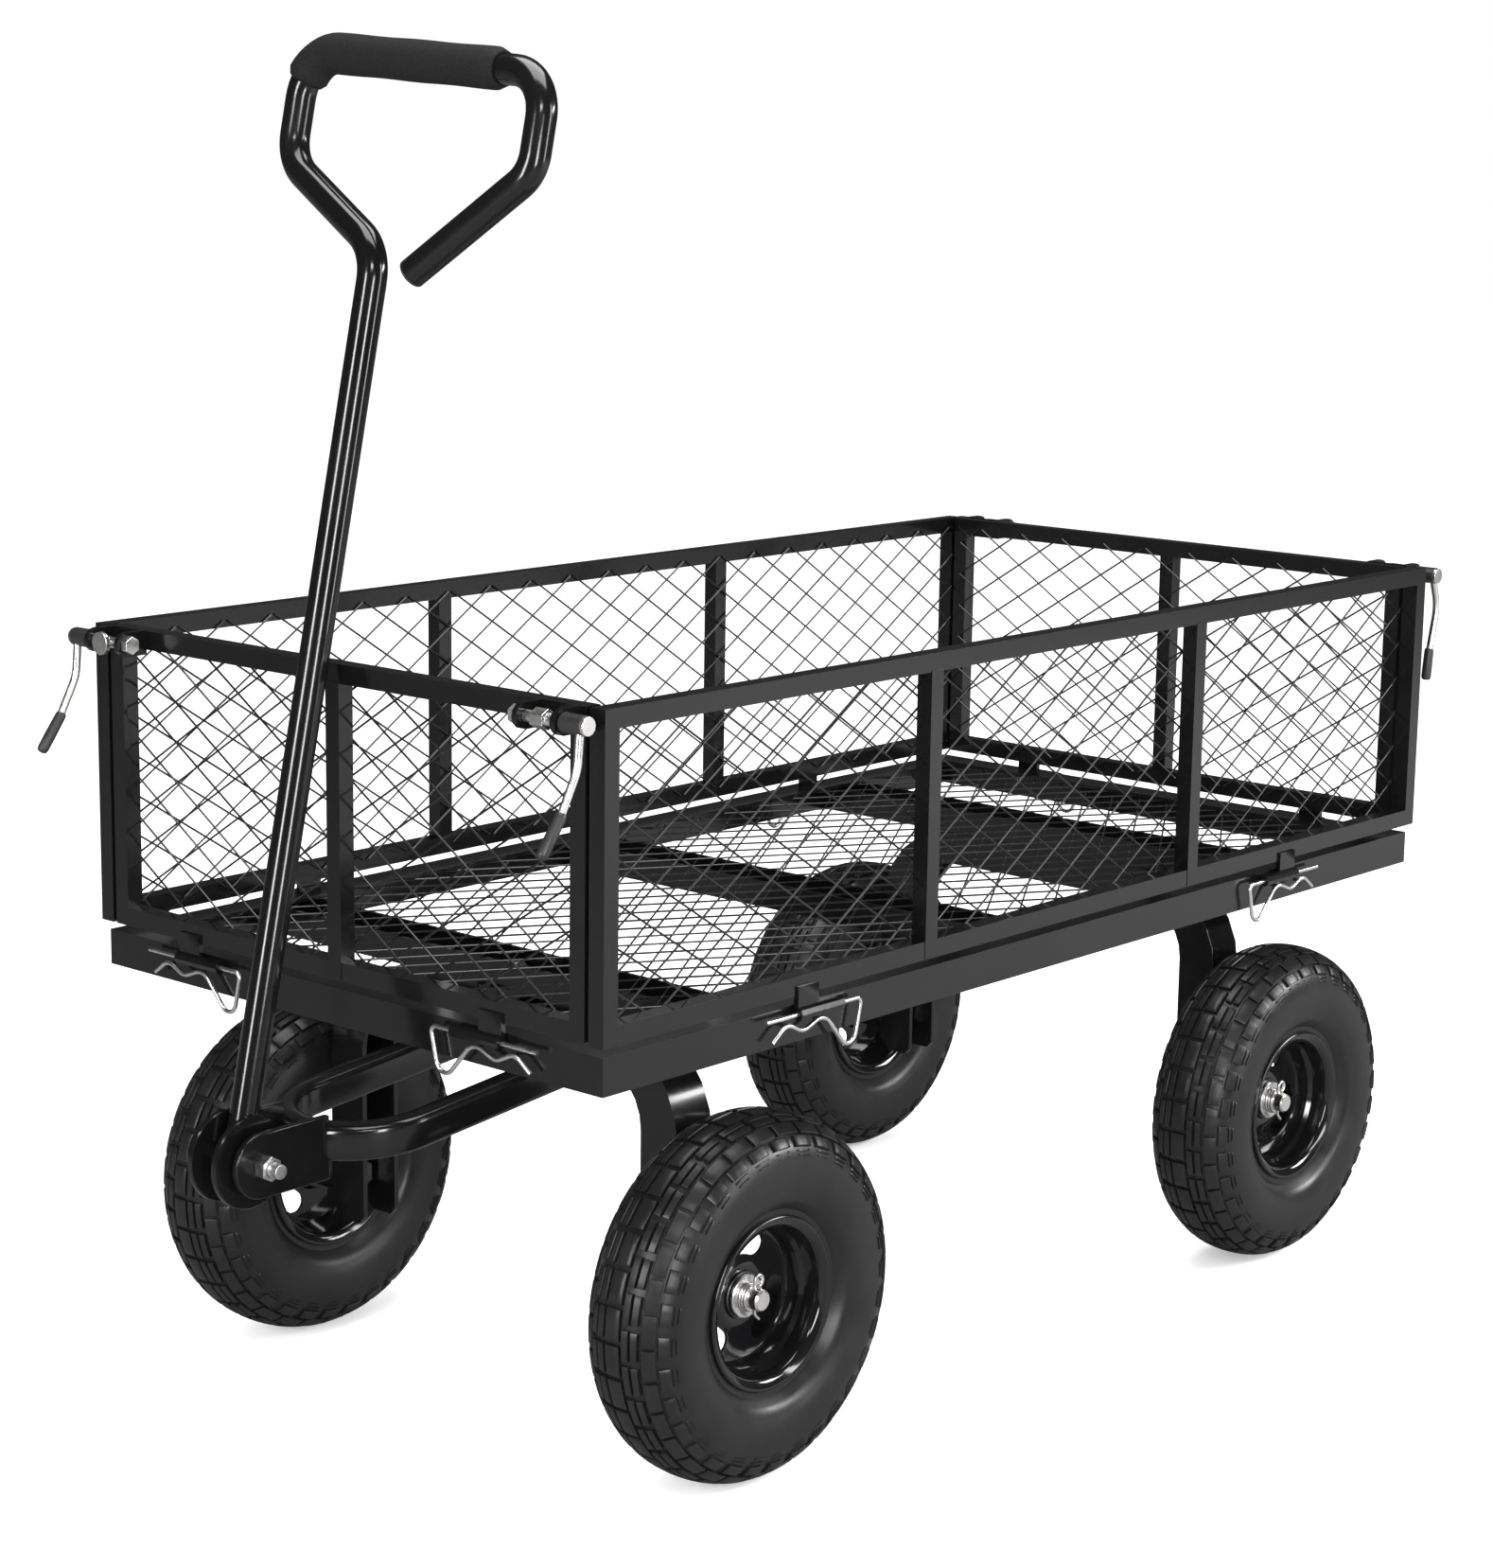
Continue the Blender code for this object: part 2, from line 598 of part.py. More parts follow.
def arch_outline(top):
    # Half-round-cornered arch in the X-Z plane: its outer edge, then its inner edge.
    foot = AXLE_Z - ARCH_FOOT
    chamfer = ARCH_FOOT_CHAMFER
    turns = [radians(a) for a in range(0, 91, 15)]
    outer_corner = (ARCH_X - ARCH_CORNER, top - ARCH_CORNER)
    right = [(outer_corner[0] + ARCH_CORNER * cos(a), outer_corner[1] + ARCH_CORNER * sin(a)) for a in turns]
    left = [(-x, z) for x, z in reversed(right)]
    inner_x = ARCH_X - ARCH_DEPTH
    inner_top = top - ARCH_CROWN
    corner = ARCH_CORNER - ARCH_DEPTH
    inner_right = [(inner_x - corner + corner * cos(a), inner_top - corner + corner * sin(a)) for a in turns]
    inner_left = [(-x, z) for x, z in reversed(inner_right)]
    return ([(ARCH_X, foot + chamfer)] + right + left + [(-ARCH_X, foot + chamfer), (-ARCH_X + chamfer, foot)]
            + [(-inner_x - chamfer / 2, foot), (-inner_x, foot + chamfer / 2)] + inner_left[::-1]
            + inner_right[::-1] + [(inner_x, foot + chamfer / 2), (inner_x + chamfer / 2, foot),
                                   (ARCH_X - chamfer, foot)])


def trough_outline(top):
    # What is hollowed out of the arch, so that a web and two flanges are left.
    radius = ARCH_CORNER - ARCH_STEEL
    outer_x = ARCH_X - ARCH_STEEL
    outer_top = top - ARCH_STEEL
    foot = AXLE_Z - ARCH_FOOT - 0.01
    turns = [radians(a) for a in range(0, 91, 15)]
    right = [(outer_x - radius + radius * cos(a), outer_top - radius + radius * sin(a)) for a in turns]
    left = [(-x, z) for x, z in reversed(right)]
    return [(outer_x, foot)] + right + left + [(-outer_x, foot)]


def axle_arch(name, y, top, kingpin, finishes):
    half = ARCH_WIDTH / 2
    arch = plate(arch_outline(top), "Y", y - half, y + half)
    hollow = plate(trough_outline(top), "Y", y - half + ARCH_STEEL, y + half - ARCH_STEEL)
    cuts = [hollow]
    for sign in (-1, 1):
        cuts.append(rod((sign * (ARCH_X - 0.010), y, AXLE_Z), (sign * (ARCH_X + 0.010), y, AXLE_Z),
                        AXLE_RADIUS + BORE_PLAY, 16))
    if kingpin:
        cuts.append(rod((0, y, top - 0.010), (0, y, top + 0.010), KINGPIN_RADIUS + BORE_PLAY))
    return piece(name, finishes["powder_coat"], [arch], cuts, (0, y, top))


def steering_bow(finishes):
    # A flat bar bent into a U that rises to the rear, two pads under the arch and a clevis on the nose.
    half = BOW_WIDTH / 2
    rear = FRONT_AXLE_Y + ARCH_WIDTH / 2
    turns = [radians(a) for a in range(0, 181, 15)]
    plan = [(BOW_RADIUS, rear)]
    plan += [(BOW_RADIUS * cos(a), BOW_CENTRE_Y - BOW_RADIUS * sin(a)) for a in turns]
    plan += [(-BOW_RADIUS, rear)]
    path = [Vector((x, y, 0)) for x, y in plan]
    section = [(half, 0), (half, BOW_HEIGHT), (-half, BOW_HEIGHT), (-half, 0)]
    bow = swept(path, Vector((0, 0, 1)), section)
    nose = BOW_CENTRE_Y - BOW_RADIUS
    bottom = PIVOT.z - BOW_DROP
    for vertex in bow.data.vertices:
        vertex.co.z += bottom + BOW_SLOPE * (vertex.co.y - nose)
    solids = [bow]
    arm_top = bottom + BOW_HEIGHT + BOW_SLOPE * (rear - ARCH_WIDTH - nose)
    for sign in (-1, 1):
        solids.append(block((sign * (BOW_RADIUS - half), rear - ARCH_WIDTH, arm_top - 0.004),
                            (sign * (BOW_RADIUS + half), rear, FRONT_ARCH_TOP - ARCH_CROWN - GAP)))
    back = BOW_CENTRE_Y - BOW_RADIUS - half + 0.010
    nose_arc = [(PIVOT.y - CLEVIS_RADIUS * sin(radians(a)), PIVOT.z + CLEVIS_RADIUS * cos(radians(a)))
                for a in range(0, 181, 20)]
    outline = [(back, PIVOT.z + CLEVIS_RADIUS)] + nose_arc + [(back, PIVOT.z - CLEVIS_RADIUS)]
    for sign in (-1, 1):
        solids.append(plate(outline, "X", sign * (EAR_OUTER - CLEVIS_EAR), sign * EAR_OUTER))
        solids.append(cross_rod(sign * (CHEEK_OUTER + 0.0005), sign * (EAR_OUTER - CLEVIS_EAR / 2), PIVOT,
                                CLEVIS_BOSS))
    bore = cross_rod(-EAR_OUTER - GAP, EAR_OUTER + GAP, PIVOT, PIVOT_BOLT + BORE_PLAY)
    return piece("steering_bow", finishes["powder_coat"], solids, [bore], (0, FRONT_AXLE_Y, PIVOT.z))


def kingpin(finishes):
    low = FRONT_ARCH_TOP - ARCH_STEEL - GAP
    nut_low = TRAY_BOTTOM + STEEL + GAP
    nut_high = nut_low + 0.009
    shank = rod((0, FRONT_AXLE_Y, low - 0.004), (0, FRONT_AXLE_Y, nut_high + 0.003), KINGPIN_RADIUS)
    head = rod((0, FRONT_AXLE_Y, low - 0.008), (0, FRONT_AXLE_Y, low), KINGPIN_HEAD, 6)
    piece("kingpin_bolt", finishes["zinc"], [head, shank], (), (0, FRONT_AXLE_Y, low))
    nut = rod((0, FRONT_AXLE_Y, nut_low), (0, FRONT_AXLE_Y, nut_high), KINGPIN_HEAD, 6)
    bore = rod((0, FRONT_AXLE_Y, nut_low - GAP), (0, FRONT_AXLE_Y, nut_high + GAP),
               KINGPIN_RADIUS + BORE_PLAY)
    piece("kingpin_nut", finishes["zinc"], [nut], [bore], (0, FRONT_AXLE_Y, nut_low))


def handle_path():
    lean = Vector((0, sin(HANDLE_LEAN), cos(HANDLE_LEAN)))
    flat, starts = rounded_path(HANDLE_CORNERS, 4)
    points = [PIVOT + Vector((across, 0, 0)) + lean * along for across, along in flat]
    side = Vector((1, 0, 0)).cross(lean).normalized()
    return points, starts, side


def handle(finishes):
    path, starts, side = handle_path()
    sides = 10
    tube = swept(path, side, ring_of(HANDLE_TUBE, sides), ring_of(HANDLE_TUBE - HANDLE_WALL, sides))
    cheeks = [cross_rod(sign * (HANDLE_TUBE - 0.0005), sign * CHEEK_OUTER, PIVOT, CHEEK_RADIUS, 24)
              for sign in (-1, 1)]
    bore = cross_rod(-EAR_OUTER, EAR_OUTER, PIVOT, PIVOT_BOLT + BORE_PLAY)
    piece("handle_tube", finishes["powder_coat"], [tube] + cheeks, [bore], PIVOT)

    span = range(starts[GRIP_FROM] + 1, starts[GRIP_TO] + 1)
    grip = swept(path, side, ring_of(GRIP_RADIUS, sides), ring_of(HANDLE_TUBE + GAP, sides), span)
    piece("handle_grip", finishes["foam_grip"], [grip], (), PIVOT)

    outward = (path[-1] - path[-2]).normalized()
    end = path[-1]
    spigot = rod(end - outward * 0.012, end + outward * 0.002, HANDLE_TUBE - HANDLE_WALL - 2 * GAP)
    cap = rod(end + outward * GAP, end + outward * 0.0025, HANDLE_TUBE)
    piece("handle_end_plug", finishes["end_plug"], [cap, spigot], (), PIVOT)


def pivot_bolt(finishes):
    face = EAR_OUTER + GAP
    shank = cross_rod(-face - 0.003, EAR_OUTER + PIVOT_BOLT_TAIL, PIVOT, PIVOT_BOLT)
    head = cross_rod(-face - 0.006, -face, PIVOT, PIVOT_HEAD, 6)
    piece("pivot_bolt", finishes["zinc"], [head, shank], (), PIVOT)
    nut = cross_rod(face, face + 0.009, PIVOT, PIVOT_HEAD, 6)
    bore = cross_rod(face - GAP, face + 0.010, PIVOT, PIVOT_BOLT + BORE_PLAY)
    piece("pivot_nut", finishes["zinc"], [nut], [bore], PIVOT)


def tyre_outline():
    # Distance outwards from the wheel's middle plane, and radius.
    flank = [(TYRE_HALF_WIDTH * width, TYRE_BEAD + (TYRE_RADIUS - TYRE_BEAD) * height)
             for width, height in TYRE_SHAPE]
    bead = RIM_SEAT - GAP - 0.0001
    right = [(bead, RIM_BARREL + 0.0008), (bead, TYRE_BEAD)] + flank
    return right + [(-out, radius) for out, radius in reversed(right)]


def rim_outline():
    bore = HUB_RADIUS + BORE_PLAY
    outer_lip = [(-RIM_HALF_WIDTH, RIM_LIP), (-RIM_SEAT, RIM_LIP), (-RIM_SEAT, RIM_BARREL)]
    tyre_side = outer_lip + [(-out, radius) for out, radius in reversed(outer_lip)]
    inner_lip = RIM_HALF_WIDTH - RIM_FLARE
    skirt = BOSS_RADIUS + 0.0015
    face = [(inner_lip, RIM_INNER), (DISC_FACE, RIM_INNER), (DISC_FACE, skirt), (BOSS_FACE, BOSS_RADIUS)]
    back = [(BOSS_BACK, BOSS_RADIUS), (DISC_BACK, skirt), (DISC_BACK, RIM_INNER), (-inner_lip, RIM_INNER)]
    return tyre_side + face + [(BOSS_FACE, bore), (BOSS_BACK, bore)] + back


def rim_window(centre, turn):
    # A kidney-shaped hole through the rim's disc.
    spans = [turn - WINDOW_ANGLE / 2 + WINDOW_ANGLE * k / 4 for k in range(5)]
    outer = [(centre[1] + WINDOW_OUTER * cos(a), centre[2] + WINDOW_OUTER * sin(a)) for a in spans]
    inner = [(centre[1] + WINDOW_INNER * cos(a), centre[2] + WINDOW_INNER * sin(a)) for a in reversed(spans)]
    return plate(outer + inner, "X", centre[0] + 2 * DISC_BACK, centre[0] - 2 * DISC_BACK)


def wheel(corner, finishes):
    right, back = CORNERS[corner]
    centre = (right * WHEEL_X, FRONT_AXLE_Y if back < 0 else REAR_AXLE_Y, AXLE_Z)
    tyre = turned(tyre_outline(), centre, right, 24)
    piece(f"tyre_{corner}", finishes["tyre_rubber"], [tyre], (), centre)

    rim = turned(rim_outline(), centre, right, 16)
    windows = [rim_window(centre, radians(90 + 120 * k)) for k in range(3)]
    piece(f"rim_{corner}", finishes["rim_gloss"], [rim], windows, centre)

    bore = AXLE_RADIUS + BORE_PLAY
    near = -ARCH_TO_WHEEL + HUB_TO_ARCH
    hub = [(near, bore), (near, HUB_RADIUS), (HUB_END, HUB_RADIUS), (HUB_END, bore)]
    piece(f"bearing_{corner}", finishes["hub_bearing"], [turned(hub, centre, right, 16)], (), centre)

    low, high = HUB_END + WASHER_PLAY, HUB_END + WASHER_PLAY + WASHER_THICKNESS
    washer = [(low, bore), (low, WASHER_RADIUS), (high, WASHER_RADIUS), (high, bore)]
    piece(f"washer_{corner}", finishes["zinc"], [turned(washer, centre, right, 16)], (), centre)


def axle(corner, finishes):
    # The axle bolt stands out through the arch's leg, with a split pin through its end.
    right, back = CORNERS[corner]
    y = FRONT_AXLE_Y if back < 0 else REAR_AXLE_Y
    web = ARCH_X - ARCH_STEEL - GAP
    end = WHEEL_X + AXLE_PAST_WHEEL
    pin_x = right * (end - COTTER_INSET)
    centre = (0, y, AXLE_Z)
    head = cross_rod(right * (web - AXLE_HEAD_LENGTH), right * web, centre, AXLE_HEAD, 6)
    shank = cross_rod(right * (web - 0.003), right * end, centre, AXLE_RADIUS, 16)
    hole = rod((pin_x, y, AXLE_Z - 2 * AXLE_RADIUS), (pin_x, y, AXLE_Z + 2 * AXLE_RADIUS), COTTER_HOLE, 8)
    piece(f"axle_bolt_{corner}", finishes["zinc"], [head, shank], [hole], centre)

    # One leg goes down through the hole, and the eye above it turns round three quarters of a circle.
    eye_height = AXLE_RADIUS + COTTER_EYE
    turns = [radians(a) for a in range(0, 271, 45)]
    loop = [(COTTER_EYE * (1 - cos(a)), eye_height + COTTER_EYE * sin(a)) for a in turns]
    leg = [(0.0045, -2 * AXLE_RADIUS - 0.0005), (0.0, -AXLE_RADIUS - 0.0035)]
    path = [Vector((pin_x, y + across, AXLE_Z + up)) for across, up in leg + loop]
    pin = swept(path, Vector((1, 0, 0)), ring_of(COTTER_WIRE, 6))
    piece(f"cotter_pin_{corner}", finishes["zinc"], [pin], (), centre)


def shift_to_origin():
    # The overall length runs from the handle's cheeks to the rear latch levers' rods.
    front = PIVOT.y - CHEEK_RADIUS
    corners = [bpy.data.objects[f"latch_lever_rear_{end}"] for end in ("right", "left")]
    rear = max(max(v.co.y for v in lever.data.vertices) + lever.location.y for lever in corners)
    middle = (front + rear) / 2
    for item in bpy.data.objects:
        item.location.y -= middle
    print(f"tray middle at y = {-middle:.6f}, handle lean {HANDLE_LEAN:.5f} rad")


def build():
    clear_scene()
    finishes = make_finishes()
    tray_frame(finishes)
    bed_mesh(finishes)
    axle_arch("rear_axle_arch", REAR_AXLE_Y, REAR_ARCH_TOP, False, finishes)
    axle_arch("front_axle_arch", FRONT_AXLE_Y, FRONT_ARCH_TOP, True, finishes)
    steering_bow(finishes)
    kingpin(finishes)
    handle(finishes)
    pivot_bolt(finishes)
    for corner in CORNERS:
        wheel(corner, finishes)
        axle(corner, finishes)
    for side in SIDES:
        panel_frame(side, finishes)
        panel_mesh(side, finishes)
        for start, direction in hinge_starts(side):
            end = "a" if direction > 0 else "b"
            hairpin(f"hairpin_{side}_{end}", side, start, direction, finishes)
    for corner, (end, sign) in CORNERS.items():
        latch_lever(f"latch_lever_{corner}", end, sign, finishes)
        latch_bolt(f"latch_bolt_{corner}", end, sign, finishes)
    shift_to_origin()


build()
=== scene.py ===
import json
from math import asin, atan2, cos, hypot, pi, radians, sin, tan

import bmesh
import bpy
from mathutils import Matrix, Vector


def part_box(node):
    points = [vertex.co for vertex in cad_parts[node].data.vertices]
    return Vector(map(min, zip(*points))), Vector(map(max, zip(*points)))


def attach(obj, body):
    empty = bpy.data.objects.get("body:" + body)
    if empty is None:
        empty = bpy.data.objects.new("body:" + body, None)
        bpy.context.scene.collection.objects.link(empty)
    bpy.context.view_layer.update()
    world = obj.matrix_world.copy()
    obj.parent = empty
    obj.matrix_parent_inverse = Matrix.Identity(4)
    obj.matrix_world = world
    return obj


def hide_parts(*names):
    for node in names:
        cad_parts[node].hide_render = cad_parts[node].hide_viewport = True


# Garden cart: gloss black steel, bare zinc pins and levers, knobbly rubber tyres and a foam grip.
# Metres, +Z up, the handle towards -Y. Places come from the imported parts' own boxes.

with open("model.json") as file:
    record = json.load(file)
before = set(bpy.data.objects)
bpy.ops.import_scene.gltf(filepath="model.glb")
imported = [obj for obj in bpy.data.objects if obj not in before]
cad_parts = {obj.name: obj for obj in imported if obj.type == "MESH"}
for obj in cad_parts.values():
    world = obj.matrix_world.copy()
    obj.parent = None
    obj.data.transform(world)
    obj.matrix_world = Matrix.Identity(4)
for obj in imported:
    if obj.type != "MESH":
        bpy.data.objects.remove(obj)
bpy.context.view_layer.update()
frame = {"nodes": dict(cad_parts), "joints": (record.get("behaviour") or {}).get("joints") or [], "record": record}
joints = {joint["name"]: joint for joint in frame["joints"]}
corners = {"front_right": (1, -1), "front_left": (-1, -1), "rear_right": (1, 1), "rear_left": (-1, 1)}
sides = {"right": "Y", "left": "Y", "front": "X", "rear": "X"}  # the way each cage panel runs


def bodyOf(node):
    for body, members in frame["record"]["behaviour"]["bodies"].items():
        if node in members:
            return body
    return None


# ---- shader effects that several materials share

def newGroup(name, inputs, outputs):
    group = bpy.data.node_groups.new(name, "ShaderNodeTree")
    for label, kind, value in inputs:
        socket = group.interface.new_socket(name=label, in_out="INPUT", socket_type=kind)
        socket.default_value = value
    for label, kind in outputs:
        group.interface.new_socket(name=label, in_out="OUTPUT", socket_type=kind)
    start = group.nodes.new("NodeGroupInput")
    end = group.nodes.new("NodeGroupOutput")
    return group, start, end


def addNode(tree, kind, **values):
    node = tree.nodes.new(kind)
    for key, value in values.items():
        if hasattr(node, key):
            setattr(node, key, value)
        else:
            node.inputs[key.replace("_", " ")].default_value = value
    return node


def makeFineGrain():
    # Two sizes of noise on the piece's own coordinates: a tone for colour and roughness, a height for bump.
    group, start, end = newGroup(
        "fineGrain",
        [("Coarse", "NodeSocketFloat", 40.0), ("Fine", "NodeSocketFloat", 900.0),
         ("Mix", "NodeSocketFloat", 0.5)],
        [("Tone", "NodeSocketFloat"), ("Height", "NodeSocketFloat")])
    place = addNode(group, "ShaderNodeTexCoord")
    coarse = addNode(group, "ShaderNodeTexNoise", Detail=4.0, Roughness=0.55)
    fine = addNode(group, "ShaderNodeTexNoise", Detail=2.0, Roughness=0.5)
    blendTones = addNode(group, "ShaderNodeMix", data_type="FLOAT")
    group.links.new(place.outputs["Object"], coarse.inputs["Vector"])
    group.links.new(place.outputs["Object"], fine.inputs["Vector"])
    group.links.new(start.outputs["Coarse"], coarse.inputs["Scale"])
    group.links.new(start.outputs["Fine"], fine.inputs["Scale"])
    group.links.new(start.outputs["Mix"], blendTones.inputs["Factor"])
    group.links.new(coarse.outputs["Fac"], blendTones.inputs["A"])
    group.links.new(fine.outputs["Fac"], blendTones.inputs["B"])
    group.links.new(blendTones.outputs["Result"], end.inputs["Height"])
    group.links.new(coarse.outputs["Fac"], end.inputs["Tone"])
    return group


def makePores():
    # Closed foam or cast rubber: small rounded cells.
    group, start, end = newGroup(
        "pores",
        [("Scale", "NodeSocketFloat", 900.0)],
        [("Cells", "NodeSocketFloat"), ("Height", "NodeSocketFloat")])
    place = addNode(group, "ShaderNodeTexCoord")
    cells = addNode(group, "ShaderNodeTexVoronoi", feature="SMOOTH_F1")
    softer = addNode(group, "ShaderNodeTexNoise", Detail=3.0)
    add = addNode(group, "ShaderNodeMath", operation="ADD")
    group.links.new(place.outputs["Object"], cells.inputs["Vector"])
    group.links.new(place.outputs["Object"], softer.inputs["Vector"])
    group.links.new(start.outputs["Scale"], cells.inputs["Scale"])
    group.links.new(start.outputs["Scale"], softer.inputs["Scale"])
    group.links.new(cells.outputs["Distance"], add.inputs[0])
    group.links.new(softer.outputs["Fac"], add.inputs[1])
    group.links.new(cells.outputs["Distance"], end.inputs["Cells"])
    group.links.new(add.outputs["Value"], end.inputs["Height"])
    return group


def makeRubDown():
    # Where hands and ground rub a piece: long scuffs along one axis, as a mask from 0 to 1.
    group, start, end = newGroup(
        "rubDown",
        [("Stretch", "NodeSocketVector", (1.0, 1.0, 0.08)), ("Amount", "NodeSocketFloat", 0.5)],
        [("Mask", "NodeSocketFloat")])
    place = addNode(group, "ShaderNodeTexCoord")
    stretch = addNode(group, "ShaderNodeVectorMath", operation="MULTIPLY")
    streaks = addNode(group, "ShaderNodeTexNoise", Scale=160.0, Detail=5.0, Roughness=0.6)
    ramp = addNode(group, "ShaderNodeMapRange")
    scale = addNode(group, "ShaderNodeMath", operation="MULTIPLY")
    ramp.inputs["From Min"].default_value = 0.52
    ramp.inputs["From Max"].default_value = 0.78
    group.links.new(place.outputs["Object"], stretch.inputs[0])
    group.links.new(start.outputs["Stretch"], stretch.inputs[1])
    group.links.new(stretch.outputs["Vector"], streaks.inputs["Vector"])
    group.links.new(streaks.outputs["Fac"], ramp.inputs["Value"])
    group.links.new(ramp.outputs["Result"], scale.inputs[0])
    group.links.new(start.outputs["Amount"], scale.inputs[1])
    group.links.new(scale.outputs["Value"], end.inputs["Mask"])
    return group


fineGrain = makeFineGrain()
pores = makePores()
rubDown = makeRubDown()
print("shared shader effects made")


# ---- materials

def startMaterial(name):
    material = bpy.data.materials.new(name)
    material.use_nodes = True
    tree = material.node_tree
    return material, tree, tree.nodes["Principled BSDF"]


def useGroup(tree, group, **values):
    node = tree.nodes.new("ShaderNodeGroup")
    node.node_tree = group
    for key, value in values.items():
        node.inputs[key].default_value = value
    return node


def mixColours(tree, factor, first, second, shader):
    mix = addNode(tree, "ShaderNodeMix", data_type="RGBA")
    mix.inputs["A"].default_value = (*first, 1)
    mix.inputs["B"].default_value = (*second, 1)
    tree.links.new(factor, mix.inputs["Factor"])
    tree.links.new(mix.outputs["Result"], shader.inputs["Base Color"])
    return mix


def rangeTo(tree, source, low, high, target, fromLow=0.3, fromHigh=0.7):
    ramp = addNode(tree, "ShaderNodeMapRange")
    ramp.inputs["From Min"].default_value = fromLow
    ramp.inputs["From Max"].default_value = fromHigh
    ramp.inputs["To Min"].default_value = low
    ramp.inputs["To Max"].default_value = high
    tree.links.new(source, ramp.inputs["Value"])
    tree.links.new(ramp.outputs["Result"], target)


def addBump(tree, source, shader, strength, distance):
    bump = addNode(tree, "ShaderNodeBump", Strength=strength, Distance=distance)
    tree.links.new(source, bump.inputs["Height"])
    tree.links.new(bump.outputs["Normal"], shader.inputs["Normal"])


paintLook = {
    "deepColour": (0.0018, 0.0018, 0.0019), "dustColour": (0.0050, 0.0050, 0.0053), "specular": 0.42,
    "gloss": (0.13, 0.20), "coat": 0.12, "coatRoughness": 0.08, "peelStrength": 0.08, "peelDepth": 0.0002,
}


def makePowderCoat(name="powderCoat", look=paintLook):
    # Gloss powder coat: orange peel, faint dust and a thin clear skin.
    material, tree, shader = startMaterial(name)
    grain = useGroup(tree, fineGrain, Coarse=14.0, Fine=520.0, Mix=0.85)
    mixColours(tree, grain.outputs["Tone"], look["deepColour"], look["dustColour"], shader)
    rangeTo(tree, grain.outputs["Tone"], *look["gloss"], shader.inputs["Roughness"])
    addBump(tree, grain.outputs["Height"], shader, look["peelStrength"], look["peelDepth"])
    shader.inputs["Specular IOR Level"].default_value = look["specular"]
    shader.inputs["Coat Weight"].default_value = look["coat"]
    shader.inputs["Coat Roughness"].default_value = look["coatRoughness"]
    return material


rimLook = {
    "deepColour": (0.0025, 0.0025, 0.0028), "dustColour": (0.006, 0.006, 0.0065), "specular": 0.42,
    "gloss": (0.08, 0.14), "coat": 0.2, "coatRoughness": 0.08, "peelStrength": 0.05, "peelDepth": 0.0002,
}
wireLook = {
    "deepColour": (0.003, 0.003, 0.0032), "dustColour": (0.010, 0.010, 0.010), "specular": 0.45,
    "gloss": (0.22, 0.32), "coat": 0.1, "coatRoughness": 0.08, "peelStrength": 0.12, "peelDepth": 0.0002,
}
zincLook = {
    "bright": (0.80, 0.79, 0.77), "dull": (0.55, 0.55, 0.55), "gloss": (0.20, 0.36), "scuff": 0.45,
    "grainStrength": 0.12, "grainDepth": 0.0002,
}


def makeZinc():
    # Bright plating: drawn streaks, slight blotches of dull zinc.
    material, tree, shader = startMaterial("zincPlate")
    grain = useGroup(tree, fineGrain, Coarse=90.0, Fine=1400.0, Mix=0.5)
    scuff = useGroup(tree, rubDown, Amount=zincLook["scuff"])
    mixColours(tree, scuff.outputs["Mask"], zincLook["bright"], zincLook["dull"], shader)
    rangeTo(tree, grain.outputs["Tone"], *zincLook["gloss"], shader.inputs["Roughness"])
    addBump(tree, grain.outputs["Height"], shader, zincLook["grainStrength"], zincLook["grainDepth"])
    shader.inputs["Metallic"].default_value = 1.0
    return material


rubberLook = {
    "dark": (0.0035, 0.0035, 0.0037), "worn": (0.011, 0.011, 0.0115), "gloss": (0.30, 0.42),
    "grainStrength": 0.22, "grainDepth": 0.0003, "specular": 0.34,
}


def makeRubber():
    # Moulded tyre rubber: satin with a fine cast grain and paler rubbed patches.
    material, tree, shader = startMaterial("tyreRubber")
    grain = useGroup(tree, fineGrain, Coarse=30.0, Fine=700.0, Mix=0.7)
    mixColours(tree, grain.outputs["Tone"], rubberLook["dark"], rubberLook["worn"], shader)
    rangeTo(tree, grain.outputs["Tone"], *rubberLook["gloss"], shader.inputs["Roughness"])
    addBump(tree, grain.outputs["Height"], shader, rubberLook["grainStrength"], rubberLook["grainDepth"])
    shader.inputs["Specular IOR Level"].default_value = rubberLook["specular"]
    return material


gripLook = {
    "low": (0.0025, 0.0025, 0.0025), "high": (0.009, 0.009, 0.009), "gloss": (0.62, 0.85),
    "poreScale": 1300.0, "poreStrength": 0.35, "poreDepth": 0.0003, "specular": 0.18,
}


def makeFoam():
    # Closed-cell foam: matte and finely pored.
    material, tree, shader = startMaterial("foamGrip")
    cells = useGroup(tree, pores, Scale=gripLook["poreScale"])
    mixColours(tree, cells.outputs["Cells"], gripLook["high"], gripLook["low"], shader)
    rangeTo(tree, cells.outputs["Cells"], *gripLook["gloss"], shader.inputs["Roughness"], 0.0, 0.6)
    addBump(tree, cells.outputs["Height"], shader, gripLook["poreStrength"], gripLook["poreDepth"])
    shader.inputs["Specular IOR Level"].default_value = gripLook["specular"]
    return material


plasticLook = {
    "deep": (0.007, 0.007, 0.007), "pale": (0.020, 0.020, 0.020), "grainStrength": 0.18, "grainDepth": 0.0002,
    "leverGloss": (0.36, 0.50), "plugGloss": (0.44, 0.58),
}


